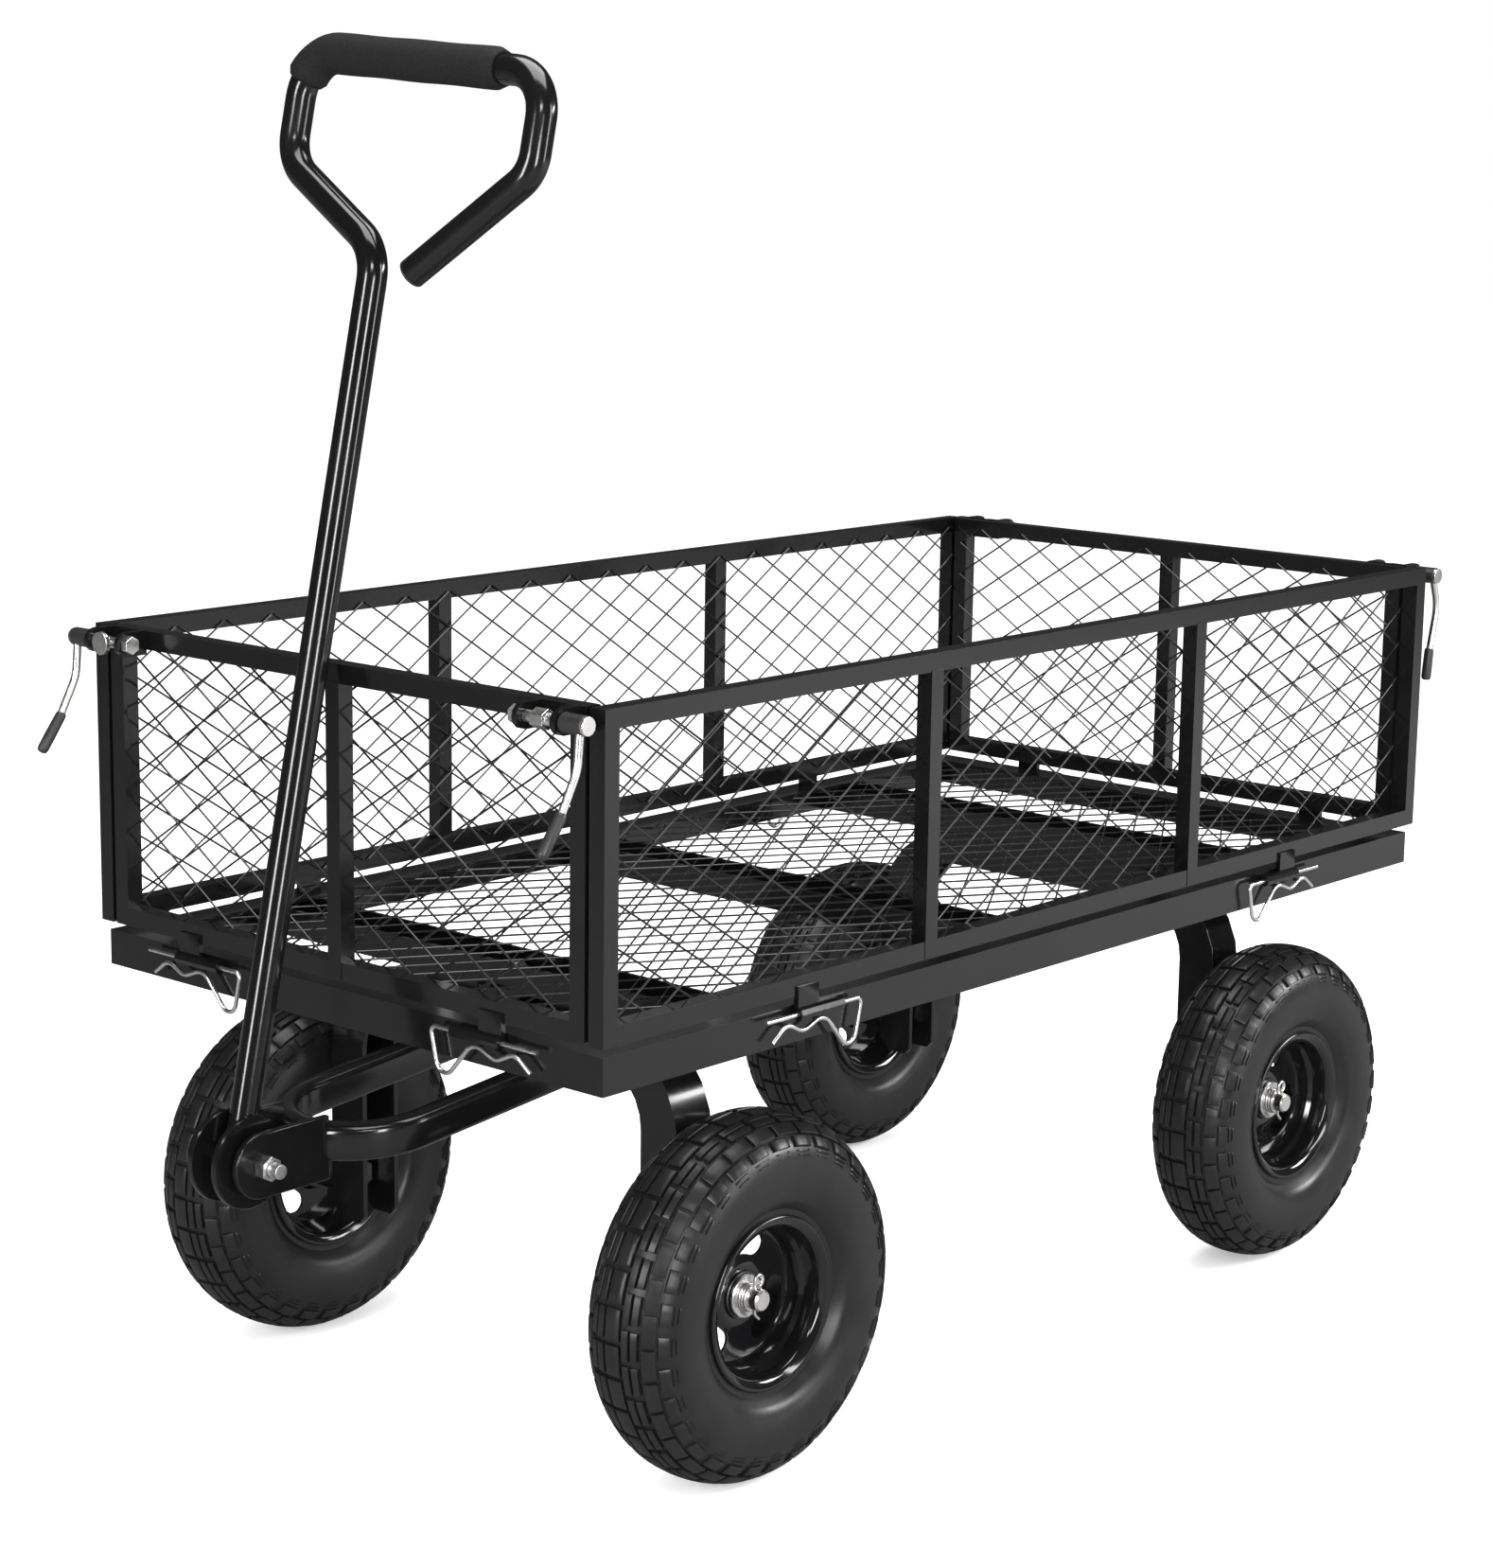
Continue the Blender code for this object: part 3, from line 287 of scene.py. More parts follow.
def makePlastic(name, gloss):
    # Moulded plastic or dipped vinyl: slight mottling and a fine matte skin.
    material, tree, shader = startMaterial(name)
    grain = useGroup(tree, fineGrain, Coarse=60.0, Fine=1500.0, Mix=0.6)
    mixColours(tree, grain.outputs["Tone"], plasticLook["deep"], plasticLook["pale"], shader)
    rangeTo(tree, grain.outputs["Tone"], *gloss, shader.inputs["Roughness"])
    addBump(tree, grain.outputs["Height"], shader, plasticLook["grainStrength"], plasticLook["grainDepth"])
    return material


hubLook = {
    "grease": (0.10, 0.10, 0.10), "steel": (0.28, 0.27, 0.26), "gloss": (0.28, 0.45), "scuff": 0.7,
    "grainStrength": 0.15, "grainDepth": 0.0002,
}


def makeHubSteel():
    # Greased dark steel sleeve.
    material, tree, shader = startMaterial("hubSteel")
    scuff = useGroup(tree, rubDown, Amount=hubLook["scuff"])
    grain = useGroup(tree, fineGrain, Coarse=120.0, Fine=900.0, Mix=0.5)
    mixColours(tree, scuff.outputs["Mask"], hubLook["grease"], hubLook["steel"], shader)
    rangeTo(tree, grain.outputs["Tone"], *hubLook["gloss"], shader.inputs["Roughness"])
    addBump(tree, grain.outputs["Height"], shader, hubLook["grainStrength"], hubLook["grainDepth"])
    shader.inputs["Metallic"].default_value = 1.0
    return material


powderCoat = makePowderCoat()
wireCoat = makePowderCoat("wireCoat", wireLook)
rimPaint = makePowderCoat("rimPaint", rimLook)
zincPlate = makeZinc()
tyreRubber = makeRubber()
foamGrip = makeFoam()
leverCap = makePlastic("leverCap", plasticLook["leverGloss"])
endPlastic = makePlastic("endPlastic", plasticLook["plugGloss"])
hubSteel = makeHubSteel()
print("materials made")


# ---- mesh tools

def addPiece(name, bm, material, body, replaced=(), sharpAngle=35):
    bmesh.ops.recalc_face_normals(bm, faces=bm.faces)
    mesh = bpy.data.meshes.new(name)
    bm.to_mesh(mesh)
    bm.free()
    mesh.shade_smooth()
    mesh.set_sharp_from_angle(angle=radians(sharpAngle))
    mesh.materials.append(material)
    item = bpy.data.objects.new(name, mesh)
    bpy.context.scene.collection.objects.link(item)
    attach(item, body)
    if replaced:
        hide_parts(*replaced)
    return item


def roundedPath(cornerList, steps):
    # Points of a flat polyline whose corners are rounded by arcs, and where each corner's points start.
    points = []
    starts = []
    spots = [Vector(corner[:2]) for corner in cornerList]
    for index, corner in enumerate(cornerList):
        starts.append(len(points))
        radius = corner[2]
        if radius == 0:
            points.append(spots[index])
            continue
        back = (spots[index - 1] - spots[index]).normalized()
        ahead = (spots[index + 1] - spots[index]).normalized()
        half = back.angle(ahead) / 2
        centre = spots[index] + (back + ahead).normalized() * (radius / sin(half))
        first = spots[index] + back * (radius / tan(half)) - centre
        last = spots[index] + ahead * (radius / tan(half)) - centre
        sweep = first.angle(last)
        for step in range(steps + 1):
            share = step / steps
            mix = first * sin((1 - share) * sweep) + last * sin(share * sweep)
            points.append(centre + mix / sin(sweep))
    return points, starts


def sweepTube(bm, path, side, radii, turns=16, capped=True):
    # A round tube along a path in one plane. radii is one radius, or one for each point.
    rings = []
    for index, here in enumerate(path):
        before = path[max(index - 1, 0)]
        after = path[min(index + 1, len(path) - 1)]
        coming = (here - before).normalized() if index else (after - here).normalized()
        going = (after - here).normalized() if index < len(path) - 1 else coming
        along = (coming + going).normalized()
        across = side.cross(along).normalized()
        widen = 1 / max(along.dot(going), 0.3)
        radius = radii if isinstance(radii, float) else radii[index]
        ring = []
        for k in range(turns):
            angle = 2 * pi * k / turns
            spot = here + across * (radius * cos(angle) * widen) + side * (radius * sin(angle))
            ring.append(bm.verts.new(spot))
        rings.append(ring)
    joinRings(bm, rings, capped)
    return rings


def joinRings(bm, rings, capped):
    for near, far in zip(rings, rings[1:]):
        for k in range(len(near)):
            after = (k + 1) % len(near)
            bm.faces.new((near[k], near[after], far[after], far[k]))
    if capped:
        bm.faces.new(rings[0])
        bm.faces.new(rings[-1])


def aboutX(centre, along, radius, angle):
    return (centre.x + along, centre.y + radius * cos(angle), centre.z + radius * sin(angle))


def turnOutline(bm, outline, centre, outward, steps):
    # A closed (distance outwards, radius) outline turned about the X axis.
    rings = []
    for k in range(steps):
        angle = 2 * pi * k / steps
        rings.append([bm.verts.new(aboutX(centre, outward * a, r, angle)) for a, r in outline])
    for near, far in zip(rings, rings[1:] + rings[:1]):
        for k in range(len(outline)):
            after = (k + 1) % len(outline)
            bm.faces.new((near[k], near[after], far[after], far[k]))


def arcPoints(centre, radius, fromDegrees, toDegrees, steps):
    angles = [radians(fromDegrees + (toDegrees - fromDegrees) * k / steps) for k in range(steps + 1)]
    return [(centre[0] + radius * cos(angle), centre[1] + radius * sin(angle)) for angle in angles]


def easeEdges(item, width):
    ease = item.modifiers.new("easedEdges", "BEVEL")
    ease.width = width
    ease.segments = 2
    ease.angle_limit = radians(40)
    return ease


def softenedCopy(node, width, material):
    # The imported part's own shape with its coplanar triangles joined and its edges eased, as paint leaves them.
    bm = bmesh.new()
    bm.from_mesh(frame["nodes"][node].data)
    bmesh.ops.remove_doubles(bm, verts=bm.verts, dist=0.00002)
    bmesh.ops.dissolve_limit(bm, angle_limit=radians(0.6), verts=bm.verts, edges=bm.edges)
    item = addPiece(node + "_painted", bm, material, bodyOf(node), (node,), 30)
    easeEdges(item, width).harden_normals = True


# ---- painted steel

steelLook = {"frameEase": 0.0009, "trayEase": 0.0008, "archEase": 0.0007}
for side in sides:
    softenedCopy(f"panel_frame_{side}", steelLook["frameEase"], powderCoat)
softenedCopy("tray_frame", steelLook["trayEase"], powderCoat)
softenedCopy("front_axle_arch", steelLook["archEase"], powderCoat)
softenedCopy("rear_axle_arch", steelLook["archEase"], powderCoat)
print("painted frames eased")


# ---- wire mesh

meshLook = {"diamondLong": 0.0445, "diamondShort": 0.0285, "wire": 0.00078, "knot": 0.0020, "knotLong": 0.0036,
            "overlap": 0.35, "shortest": 0.004}


def clipLine(point, direction, low, high):
    # Where an endless line crosses a rectangle, as two distances along it, or None.
    near, far = -1e9, 1e9
    for axis in range(2):
        if abs(direction[axis]) < 1e-9:
            continue
        a = (low[axis] - point[axis]) / direction[axis]
        b = (high[axis] - point[axis]) / direction[axis]
        near = max(near, min(a, b))
        far = min(far, max(a, b))
    return (near, far) if far - near > meshLook["shortest"] else None


def addKnot(bm, spot, alongAxis, sizes):
    # The flattened twist where two strands meet.
    turn = alongAxis.to_track_quat("X", "Z").to_matrix().to_4x4()
    shape = Matrix.Translation(spot) @ turn @ Matrix.Diagonal((sizes[0], sizes[1], sizes[1], 1))
    bmesh.ops.create_icosphere(bm, subdivisions=1, radius=1.0, matrix=shape)


def wireSheet(node, flatAxes):
    # Two families of slanting strands over the node's box, with a knot at each crossing.
    low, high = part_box(node)
    u, v = flatAxes
    w = 3 - u - v
    level = (low[w] + high[w]) / 2
    lowFlat, highFlat = (low[u], low[v]), (high[u], high[v])
    centre = ((low[u] + high[u]) / 2, (low[v] + high[v]) / 2)
    long, short = meshLook["diamondLong"], meshLook["diamondShort"]

    def place(a, b, lift=0.0):
        spot = Vector((0, 0, 0))
        spot[u], spot[v], spot[w] = a, b, level + lift
        return spot

    bm = bmesh.new()
    sideways = Vector((0, 0, 0))
    sideways[w] = 1.0
    reach = int((highFlat[0] - lowFlat[0]) / long + (highFlat[1] - lowFlat[1]) / short) + 2
    for slope in (1, -1):
        direction = (long / 2, slope * short / 2)
        lift = slope * meshLook["wire"] * meshLook["overlap"]  # one family of strands lies over the other
        for k in range(-reach, reach + 1):
            start = (centre[0] + k * long, centre[1])
            span = clipLine(start, direction, lowFlat, highFlat)
            if span is None:
                continue
            ends = [place(start[0] + direction[0] * s, start[1] + direction[1] * s, lift) for s in span]
            sweepTube(bm, ends, sideways, meshLook["wire"], 6)
    alongLong = place(1, 0) - place(0, 0)
    knotSizes = (meshLook["knotLong"] / 2, meshLook["knot"] / 2)
    for i in range(-2 * reach, 2 * reach + 1):
        for j in range(-2 * reach, 2 * reach + 1):
            if (i + j) % 2:
                continue
            a, b = centre[0] + i * long / 2, centre[1] + j * short / 2
            if lowFlat[0] < a < highFlat[0] and lowFlat[1] < b < highFlat[1]:
                addKnot(bm, place(a, b), alongLong, knotSizes)
    addPiece(node + "_wires", bm, wireCoat, bodyOf(node), (node,), 60)


for side, axis in sides.items():
    wireSheet(f"panel_mesh_{side}", (1, 2) if axis == "Y" else (0, 2))
wireSheet("bed_mesh", (1, 0))
print("wire mesh woven")


# ---- tyres

tyreLook = {
    "halfWidth": 0.0375, "sectionMiddle": 0.0905, "sectionHeight": 0.0337, "widthPower": 0.9,
    "heightPower": 0.85,
    "beadAngle": 138, "sectionSteps": 46, "blocksRound": 32, "blockHeight": 0.0028, "roundSteps": 128,
    "seatHalf": 0.0256, "seatRadius": 0.0540, "beadRadius": 0.0612, "ridgeHeight": 0.0006, "ridge": (117, 122),
    "blockRoot": 0.0006, "blockChamfer": 0.0005, "chamferShare": 0.07,
}
# Tread rows: from and to across the section in degrees from the crown, height share, stagger, fill share
treadRows = [
    (-7.0, 7.0, 1.0, 0.0, 0.86),
    (10.0, 17.2, 1.0, 0.5, 0.84),
    (19.6, 27.0, 1.0, 0.5, 0.80),
    (30.5, 46.0, 0.95, 0.0, 0.88),
    (49.0, 62.0, 0.75, 0.5, 0.70),
    (65.5, 67.5, 0.35, 0.5, 0.60),
    (71.0, 72.6, 0.30, 0.5, 0.52),
]


def tyreSection(degrees, raised=0.0):
    # Distance out from the wheel's middle and radius, at an angle from the crown round the tyre's section.
    angle = radians(degrees)
    out = tyreLook["halfWidth"] * abs(sin(angle)) ** tyreLook["widthPower"]
    up = tyreLook["sectionHeight"] * abs(cos(angle)) ** tyreLook["heightPower"]
    normal = Vector((sin(angle) / tyreLook["halfWidth"], cos(angle) / tyreLook["sectionHeight"])).normalized()
    a = out * (1 if degrees >= 0 else -1) + normal.x * raised
    r = tyreLook["sectionMiddle"] + up * (1 if abs(degrees) <= 90 else -1) + normal.y * raised
    return a, r


def tyreOutline():
    bead, steps = tyreLook["beadAngle"], tyreLook["sectionSteps"]
    half, seat, beadTop = tyreLook["seatHalf"], tyreLook["seatRadius"], tyreLook["beadRadius"]
    ridgeFrom, ridgeTo = tyreLook["ridge"]
    outline = [(-half, seat), (-half, beadTop)]
    for step in range(steps + 1):
        degrees = -bead + 2 * bead * step / steps
        ridge = tyreLook["ridgeHeight"] if ridgeFrom < abs(degrees) < ridgeTo else 0.0
        outline.append(tyreSection(degrees, ridge))
    return outline + [(half, beadTop), (half, seat)]


def addBlock(bm, centre, outward, fromDegrees, toDegrees, start, sweep, height):
    # One tread block: it starts inside the carcass, stands straight up and has a small chamfer.
    parts = 3
    shoulder = height - tyreLook["blockChamfer"]
    layers = []
    for raised, inset in ((-tyreLook["blockRoot"], 0.0), (shoulder, 0.0), (height, tyreLook["chamferShare"])):
        shares = [inset + (1 - 2 * inset) * i / parts for i in range(parts + 1)]
        grid = []
        for share in shares:
            a, r = tyreSection(fromDegrees + (toDegrees - fromDegrees) * share, raised)
            grid.append([bm.verts.new(aboutX(centre, outward * a, r, start + sweep * turn)) for turn in shares])
        layers.append(grid)
    top = layers[-1]
    for i in range(parts):
        for j in range(parts):
            bm.faces.new((top[i][j], top[i + 1][j], top[i + 1][j + 1], top[i][j + 1]))
    for lower, upper in zip(layers, layers[1:]):
        for below, above in zip(gridRim(lower), gridRim(upper)):
            bm.faces.new((below[0], below[1], above[1], above[0]))
    bm.faces.new([pair[0] for pair in gridRim(layers[0])])
    for grid in layers[:-1]:
        for row in grid[1:-1]:
            for vertex in row[1:-1]:
                bm.verts.remove(vertex)


def gridRim(grid):
    # Pairs of neighbouring vertices round the edge of a grid.
    loop = [row[0] for row in grid] + grid[-1][1:] + [row[-1] for row in reversed(grid[:-1])] + grid[0][-2:0:-1]
    return list(zip(loop, loop[1:] + loop[:1]))


def makeTyre(corner):
    outward = corners[corner][0]
    low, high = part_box(f"tyre_{corner}")
    centre = (low + high) / 2
    bm = bmesh.new()
    turnOutline(bm, tyreOutline(), centre, outward, tyreLook["roundSteps"])
    pitch = 2 * pi / tyreLook["blocksRound"]
    for fromDegrees, toDegrees, share, stagger, fill in treadRows:
        height = tyreLook["blockHeight"] * share
        mirrors = (1,) if fromDegrees < 0 else (1, -1)
        for mirror in mirrors:
            shift = stagger if mirror > 0 else stagger + 0.5
            for k in range(tyreLook["blocksRound"]):
                start = (k + shift) * pitch + pitch * (1 - fill) / 2
                span = (mirror * fromDegrees, mirror * toDegrees)
                addBlock(bm, centre, outward, *span, start, pitch * fill, height)
    node = f"tyre_{corner}"
    addPiece(f"tyreRubber_{corner}", bm, tyreRubber, bodyOf(node), (node,), 38)


for corner in corners:
    makeTyre(corner)
print("tyres moulded")


# ---- rims and hubs

rimShape = {
    "lipRadius": 0.0605, "barrelRadius": 0.0530, "steel": 0.0016, "lipRoll": 0.0021, "halfWidth": 0.0285,
    "discPlace": -0.0025, "hubRadius": 0.0168, "bossRadius": 0.0205, "bossLength": 0.0120,
    "flatOuter": 0.0440, "flatInner": 0.0275, "stepRadius": 0.0225, "cutDepth": 0.012,
    "windowInner": 0.027, "windowOuter": 0.0435, "windowAngle": 76, "windowSteps": 12, "roundSteps": 96,
}


def rimOutline():
    # Rolled outer lip, well, dished disc with a boss, well, rolled inner lip, and back along the tyre's side.
    shape = rimShape
    half, steel, roll = shape["halfWidth"], shape["steel"], shape["lipRoll"]
    outer = shape["barrelRadius"]
    inner = outer - steel
    disc = shape["discPlace"]
    rollPlace = (half - roll, shape["lipRadius"] - roll)
    tyreSide = [(-half + 2 * roll, outer), (half - 2 * roll, outer)]
    outerLip = arcPoints(rollPlace, roll, 180, -30, 8)
    flare = [(half - 0.0016, outer + 0.0018), (half - 0.0028, inner + 0.0012), (half - 0.0048, inner + 0.0002)]
    well = [(half - 0.0085, inner - 0.0004), (half - 0.0160, inner - 0.0006),
            (half - 0.0190, inner - 0.0030), (disc + 0.0040, inner - 0.0034), (disc + 0.0016, inner - 0.0050)]
    boss, hub = shape["bossRadius"], shape["hubRadius"]
    bossEnd = disc - shape["bossLength"] + 0.004
    flatOuter, flatInner, step = shape["flatOuter"], shape["flatInner"], shape["stepRadius"]
    face = [(disc + 0.0008, flatOuter), (disc + 0.0008, flatInner), (disc + 0.0030, step),
            (disc + 0.0034, boss - 0.0012), (disc + 0.0030, hub), (bossEnd, hub), (bossEnd, boss - 0.0015)]
    back = [(disc - 0.0012, step), (disc - 0.0010, flatInner), (disc - 0.0010, flatOuter),
            (disc - 0.0006, inner - 0.0050), (-half + 0.0085, inner - 0.0004)]
    back += [(-a, r) for a, r in reversed(flare)]
    innerLip = [(-a, r) for a, r in reversed(outerLip)]
    return tyreSide + outerLip + flare + well + face + back + innerLip


def kidneyCutter(centre, outward, turn):
    # The outline of one window, with round ends, pushed through the disc.
    shape = rimShape
    middle = (shape["windowInner"] + shape["windowOuter"]) / 2
    half = (shape["windowOuter"] - shape["windowInner"]) / 2
    reach = radians(shape["windowAngle"] / 2) - half / middle
    steps = shape["windowSteps"]
    outline = []
    for k in range(steps + 1):
        angle = turn - reach + 2 * reach * k / steps
        outline.append((shape["windowOuter"] * cos(angle), shape["windowOuter"] * sin(angle)))
    for endTurn, startAngle in ((turn + reach, 0), (turn - reach, 180)):
        for k in range(1, 8):
            bend = radians(startAngle + 180 * k / 8)
            spot = Vector((middle * cos(endTurn), middle * sin(endTurn)))
            radial = Vector((cos(endTurn), sin(endTurn)))
            around = Vector((-radial.y, radial.x))
            outline.append(tuple(spot + radial * (half * cos(bend)) + around * (half * sin(bend))))
        if startAngle == 0:
            for k in range(steps + 1):
                angle = turn + reach - 2 * reach * k / steps
                outline.append((shape["windowInner"] * cos(angle), shape["windowInner"] * sin(angle)))
    bm = bmesh.new()
    depth = shape["cutDepth"]
    start = centre.x + outward * shape["discPlace"] - depth
    near = [bm.verts.new((start, centre.y + y, centre.z + z)) for y, z in outline]
    far = [bm.verts.new((vertex.co.x + 2 * depth, vertex.co.y, vertex.co.z)) for vertex in near]
    joinRings(bm, [near, far], True)
    bmesh.ops.recalc_face_normals(bm, faces=bm.faces)
    mesh = bpy.data.meshes.new("kidneyCutter")
    bm.to_mesh(mesh)
    bm.free()
    cutter = bpy.data.objects.new("kidneyCutter", mesh)
    bpy.context.scene.collection.objects.link(cutter)
    return cutter


def cutAway(item, cutters):
    for cutter in cutters:
        cut = item.modifiers.new("cut", "BOOLEAN")
        cut.operation = "DIFFERENCE"
        cut.solver = "EXACT"
        cut.object = cutter
    view = bpy.context.evaluated_depsgraph_get()
    shaped = bpy.data.meshes.new_from_object(item.evaluated_get(view))
    item.modifiers.clear()
    item.data = shaped
    for cutter in cutters:
        bpy.data.objects.remove(cutter)
    shaped.shade_smooth()
    shaped.set_sharp_from_angle(angle=radians(35))


def makeRim(corner):
    outward = corners[corner][0]
    low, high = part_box(f"rim_{corner}")
    centre = (low + high) / 2
    bm = bmesh.new()
    turnOutline(bm, rimOutline(), centre, outward, rimShape["roundSteps"])
    node = f"rim_{corner}"
    rim = addPiece(f"rimPainted_{corner}", bm, rimPaint, bodyOf(node), (node,))
    cutAway(rim, [kidneyCutter(centre, outward, radians(90 + 120 * k)) for k in range(3)])


def easedRing(low, high, inner, outer, ease=0.0004):
    # Outline of a turned ring with eased edges.
    return [(low, inner), (low, outer - ease), (low + ease, outer), (high - ease, outer), (high, outer - ease),
            (high, inner)]


hubShape = {
    "bore": 0.0078, "sleeve": 0.0165, "play": 0.0005, "washer": 0.0150, "washerThick": 0.0030,
    "washerEase": 0.0006, "ringCount": 3, "ringStart": 0.0038, "ringPitch": 0.0019, "ringThick": 0.0015,
    "ringBore": 0.0076, "ringRadius": 0.0102, "ringTaper": 0.0004,
}


def makeHub(corner):
    # Sleeve in the rim's boss, thick washer outside it and three thin spacer rings.
    shape = hubShape
    outward = corners[corner][0]
    wheelLow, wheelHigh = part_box(f"tyre_{corner}")
    centre = (wheelLow + wheelHigh) / 2
    sleeve, washer = f"bearing_{corner}", f"washer_{corner}"
    sleeveLow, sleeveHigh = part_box(sleeve)
    ends = (outward * (sleeveHigh.x - centre.x), outward * (sleeveLow.x - centre.x))
    near, far = min(ends), max(ends)
    bm = bmesh.new()
    turnOutline(bm, easedRing(near, far, shape["bore"], shape["sleeve"]), centre, outward, 64)
    addPiece(f"hubSleeve_{corner}", bm, hubSteel, bodyOf(sleeve), (sleeve,))
    bm = bmesh.new()
    start = far + shape["play"]
    end = start + shape["washerThick"]
    washerRing = easedRing(start, end, shape["bore"], shape["washer"], shape["washerEase"])
    turnOutline(bm, washerRing, centre, outward, 64)
    addPiece(f"hubWasher_{corner}", bm, zincPlate, bodyOf(washer), (washer,))
    bm = bmesh.new()
    for k in range(shape["ringCount"]):
        start = far + shape["ringStart"] + shape["ringPitch"] * k
        end = start + shape["ringThick"]
        radius = shape["ringRadius"] - shape["ringTaper"] * k
        turnOutline(bm, easedRing(start, end, shape["ringBore"], radius), centre, outward, 48)
    addPiece(f"spacerRings_{corner}", bm, zincPlate, bodyOf(washer))


axleShape = {"headLength": 0.0087, "headRadius": 0.0125, "headEase": 0.001, "shank": 0.0075, "endEase": 0.0012,
             "roundSteps": 48}


def makeAxle(corner):
    # Hexagon head inside the arch's leg, plain shank and a chamfered end.
    outward = corners[corner][0]
    node = f"axle_bolt_{corner}"
    low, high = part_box(node)
    middle = (low + high) / 2
    near, far = (low.x, high.x) if outward > 0 else (high.x, low.x)
    head, shank, steps = axleShape["headRadius"], axleShape["shank"], axleShape["roundSteps"]
    headEase, endEase = axleShape["headEase"], axleShape["endEase"]
    headEnd = near + outward * axleShape["headLength"]
    stations = [(near, head - headEase, True), (near + outward * headEase, head, True), (headEnd, head, True),
                (headEnd, shank, False), (far - outward * endEase, shank, False), (far, shank - endEase, False)]
    bm = bmesh.new()
    rings = []
    for x, radius, sixSided in stations:
        ring = []
        for k in range(steps):
            angle = 2 * pi * k / steps
            reach = radius
            if sixSided:
                reach = radius * cos(pi / 6) / cos((angle + pi / 6) % (pi / 3) - pi / 6)
            ring.append(bm.verts.new((x, middle.y + reach * cos(angle), middle.z + reach * sin(angle))))
        rings.append(ring)
    joinRings(bm, rings, True)
    addPiece(f"axleBolt_{corner}", bm, zincPlate, bodyOf(node), (node,), 30)


# The pin's tail: across the bolt, up from its middle
cotterLook = {"eye": 0.0040, "wire": 0.0013, "eyeHeight": 0.0115,
              "tail": [(0.0045, -0.0155), (0.0012, -0.0125), (0.0, -0.0105)]}


def makeCotter(corner):
    node = f"cotter_pin_{corner}"
    low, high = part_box(node)
    boltLow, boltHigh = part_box(f"axle_bolt_{corner}")
    y, z = (boltLow.y + boltHigh.y) / 2, (boltLow.z + boltHigh.z) / 2
    eye = cotterLook["eye"]
    turns = [radians(a) for a in range(0, 271, 15)]
    flat = cotterLook["tail"] + [(eye - eye * cos(a), cotterLook["eyeHeight"] + eye * sin(a)) for a in turns]
    path = [Vector(((low.x + high.x) / 2, y + across, z + up)) for across, up in flat]
    bm = bmesh.new()
    sweepTube(bm, path, Vector((1, 0, 0)), cotterLook["wire"], 12)
    addPiece(f"splitPin_{corner}", bm, zincPlate, bodyOf(node), (node,), 60)


for corner in corners:
    makeRim(corner)
    makeHub(corner)
    makeAxle(corner)
    makeCotter(corner)
print("rims, hubs and axles turned")


# ---- steering bow and its bolts

bowShape = {
    "width": 0.018, "height": 0.0235, "radius": 0.0535, "slope": 0.10, "drop": 0.0095, "toPivot": 0.112,
    "corner": 0.0045, "earOuter": 0.025, "earThick": 0.005, "earRadius": 0.022, "earReach": 0.0575,
    "earEase": 0.0008, "bossStart": 0.0145, "bossRadius": 0.0110, "bossSink": 0.0003, "bore": 0.0053,
    "archWidth": 0.035, "archFlange": 0.028, "archGap": 0.0003, "padSink": 0.004, "padEase": 0.0012,
}
pivot = Vector(joints["handle_tilt"]["pos_m"])
steerAxis = Vector(joints["steering_turn"]["pos_m"])


def bowBar(bm):
    # Rectangular tube with rounded corners, bent into a U and rising gently to the rear.
    shape = bowShape
    half, height, corner = shape["width"] / 2, shape["height"], shape["corner"]
    rear = steerAxis.y + shape["archWidth"] / 2
    centreY = pivot.y + shape["toPivot"]
    nose = centreY - shape["radius"]
    section = []
    for centreA, centreB, start in ((half - corner, height - corner, 0), (-half + corner, height - corner, 90),
                                    (-half + corner, corner, 180), (half - corner, corner, 270)):
        section += arcPoints((centreA, centreB), corner, start, start + 90, 4)
    radius = shape["radius"]
    turns = [radians(a) for a in range(0, 181, 6)]
    plan = [(radius, rear), (radius, rear - 0.04), (radius, centreY + 0.03)]
    plan += [(radius * cos(a), centreY - radius * sin(a)) for a in turns]
    plan += [(-radius, centreY + 0.03), (-radius, rear - 0.04), (-radius, rear)]
    rings = []
    for index, (x, y) in enumerate(plan):
        before, after = plan[max(index - 1, 0)], plan[min(index + 1, len(plan) - 1)]
        along = Vector((after[0] - before[0], after[1] - before[1])).normalized()
        across = Vector((along.y, -along.x))
        ring = []
        for a, b in section:
            spotY = y + across.y * a
            rise = shape["slope"] * (spotY - nose)
            ring.append(bm.verts.new((x + across.x * a, spotY, pivot.z - shape["drop"] + b + rise)))
        rings.append(ring)
    joinRings(bm, rings, True)


def makeEar(sign, name):
    # Flat plate with a round nose, and the boss that takes the pivot bolt inside it.
    shape = bowShape
    radius, back = shape["earRadius"], pivot.y + shape["earReach"]
    turns = [radians(a) for a in range(0, 181, 6)]
    outline = [(back, pivot.z + radius)]
    outline += [(pivot.y - radius * sin(a), pivot.z + radius * cos(a)) for a in turns]
    outline += [(back, pivot.z - radius)]
    inner = shape["earOuter"] - shape["earThick"]
    bm = bmesh.new()
    near = [bm.verts.new((sign * inner, y, z)) for y, z in outline]
    far = [bm.verts.new((sign * shape["earOuter"], y, z)) for y, z in outline]
    joinRings(bm, [near, far], True)
    ear = addPiece(f"clevisEar_{name}", bm, powderCoat, bodyOf("steering_bow"))
    easeEdges(ear, shape["earEase"])
    bm = bmesh.new()
    ring = easedRing(shape["bossStart"], inner + shape["bossSink"], shape["bore"], shape["bossRadius"])
    turnOutline(bm, ring, Vector((0, pivot.y, pivot.z)), sign, 48)
    addPiece(f"clevisBoss_{name}", bm, powderCoat, bodyOf("steering_bow"))


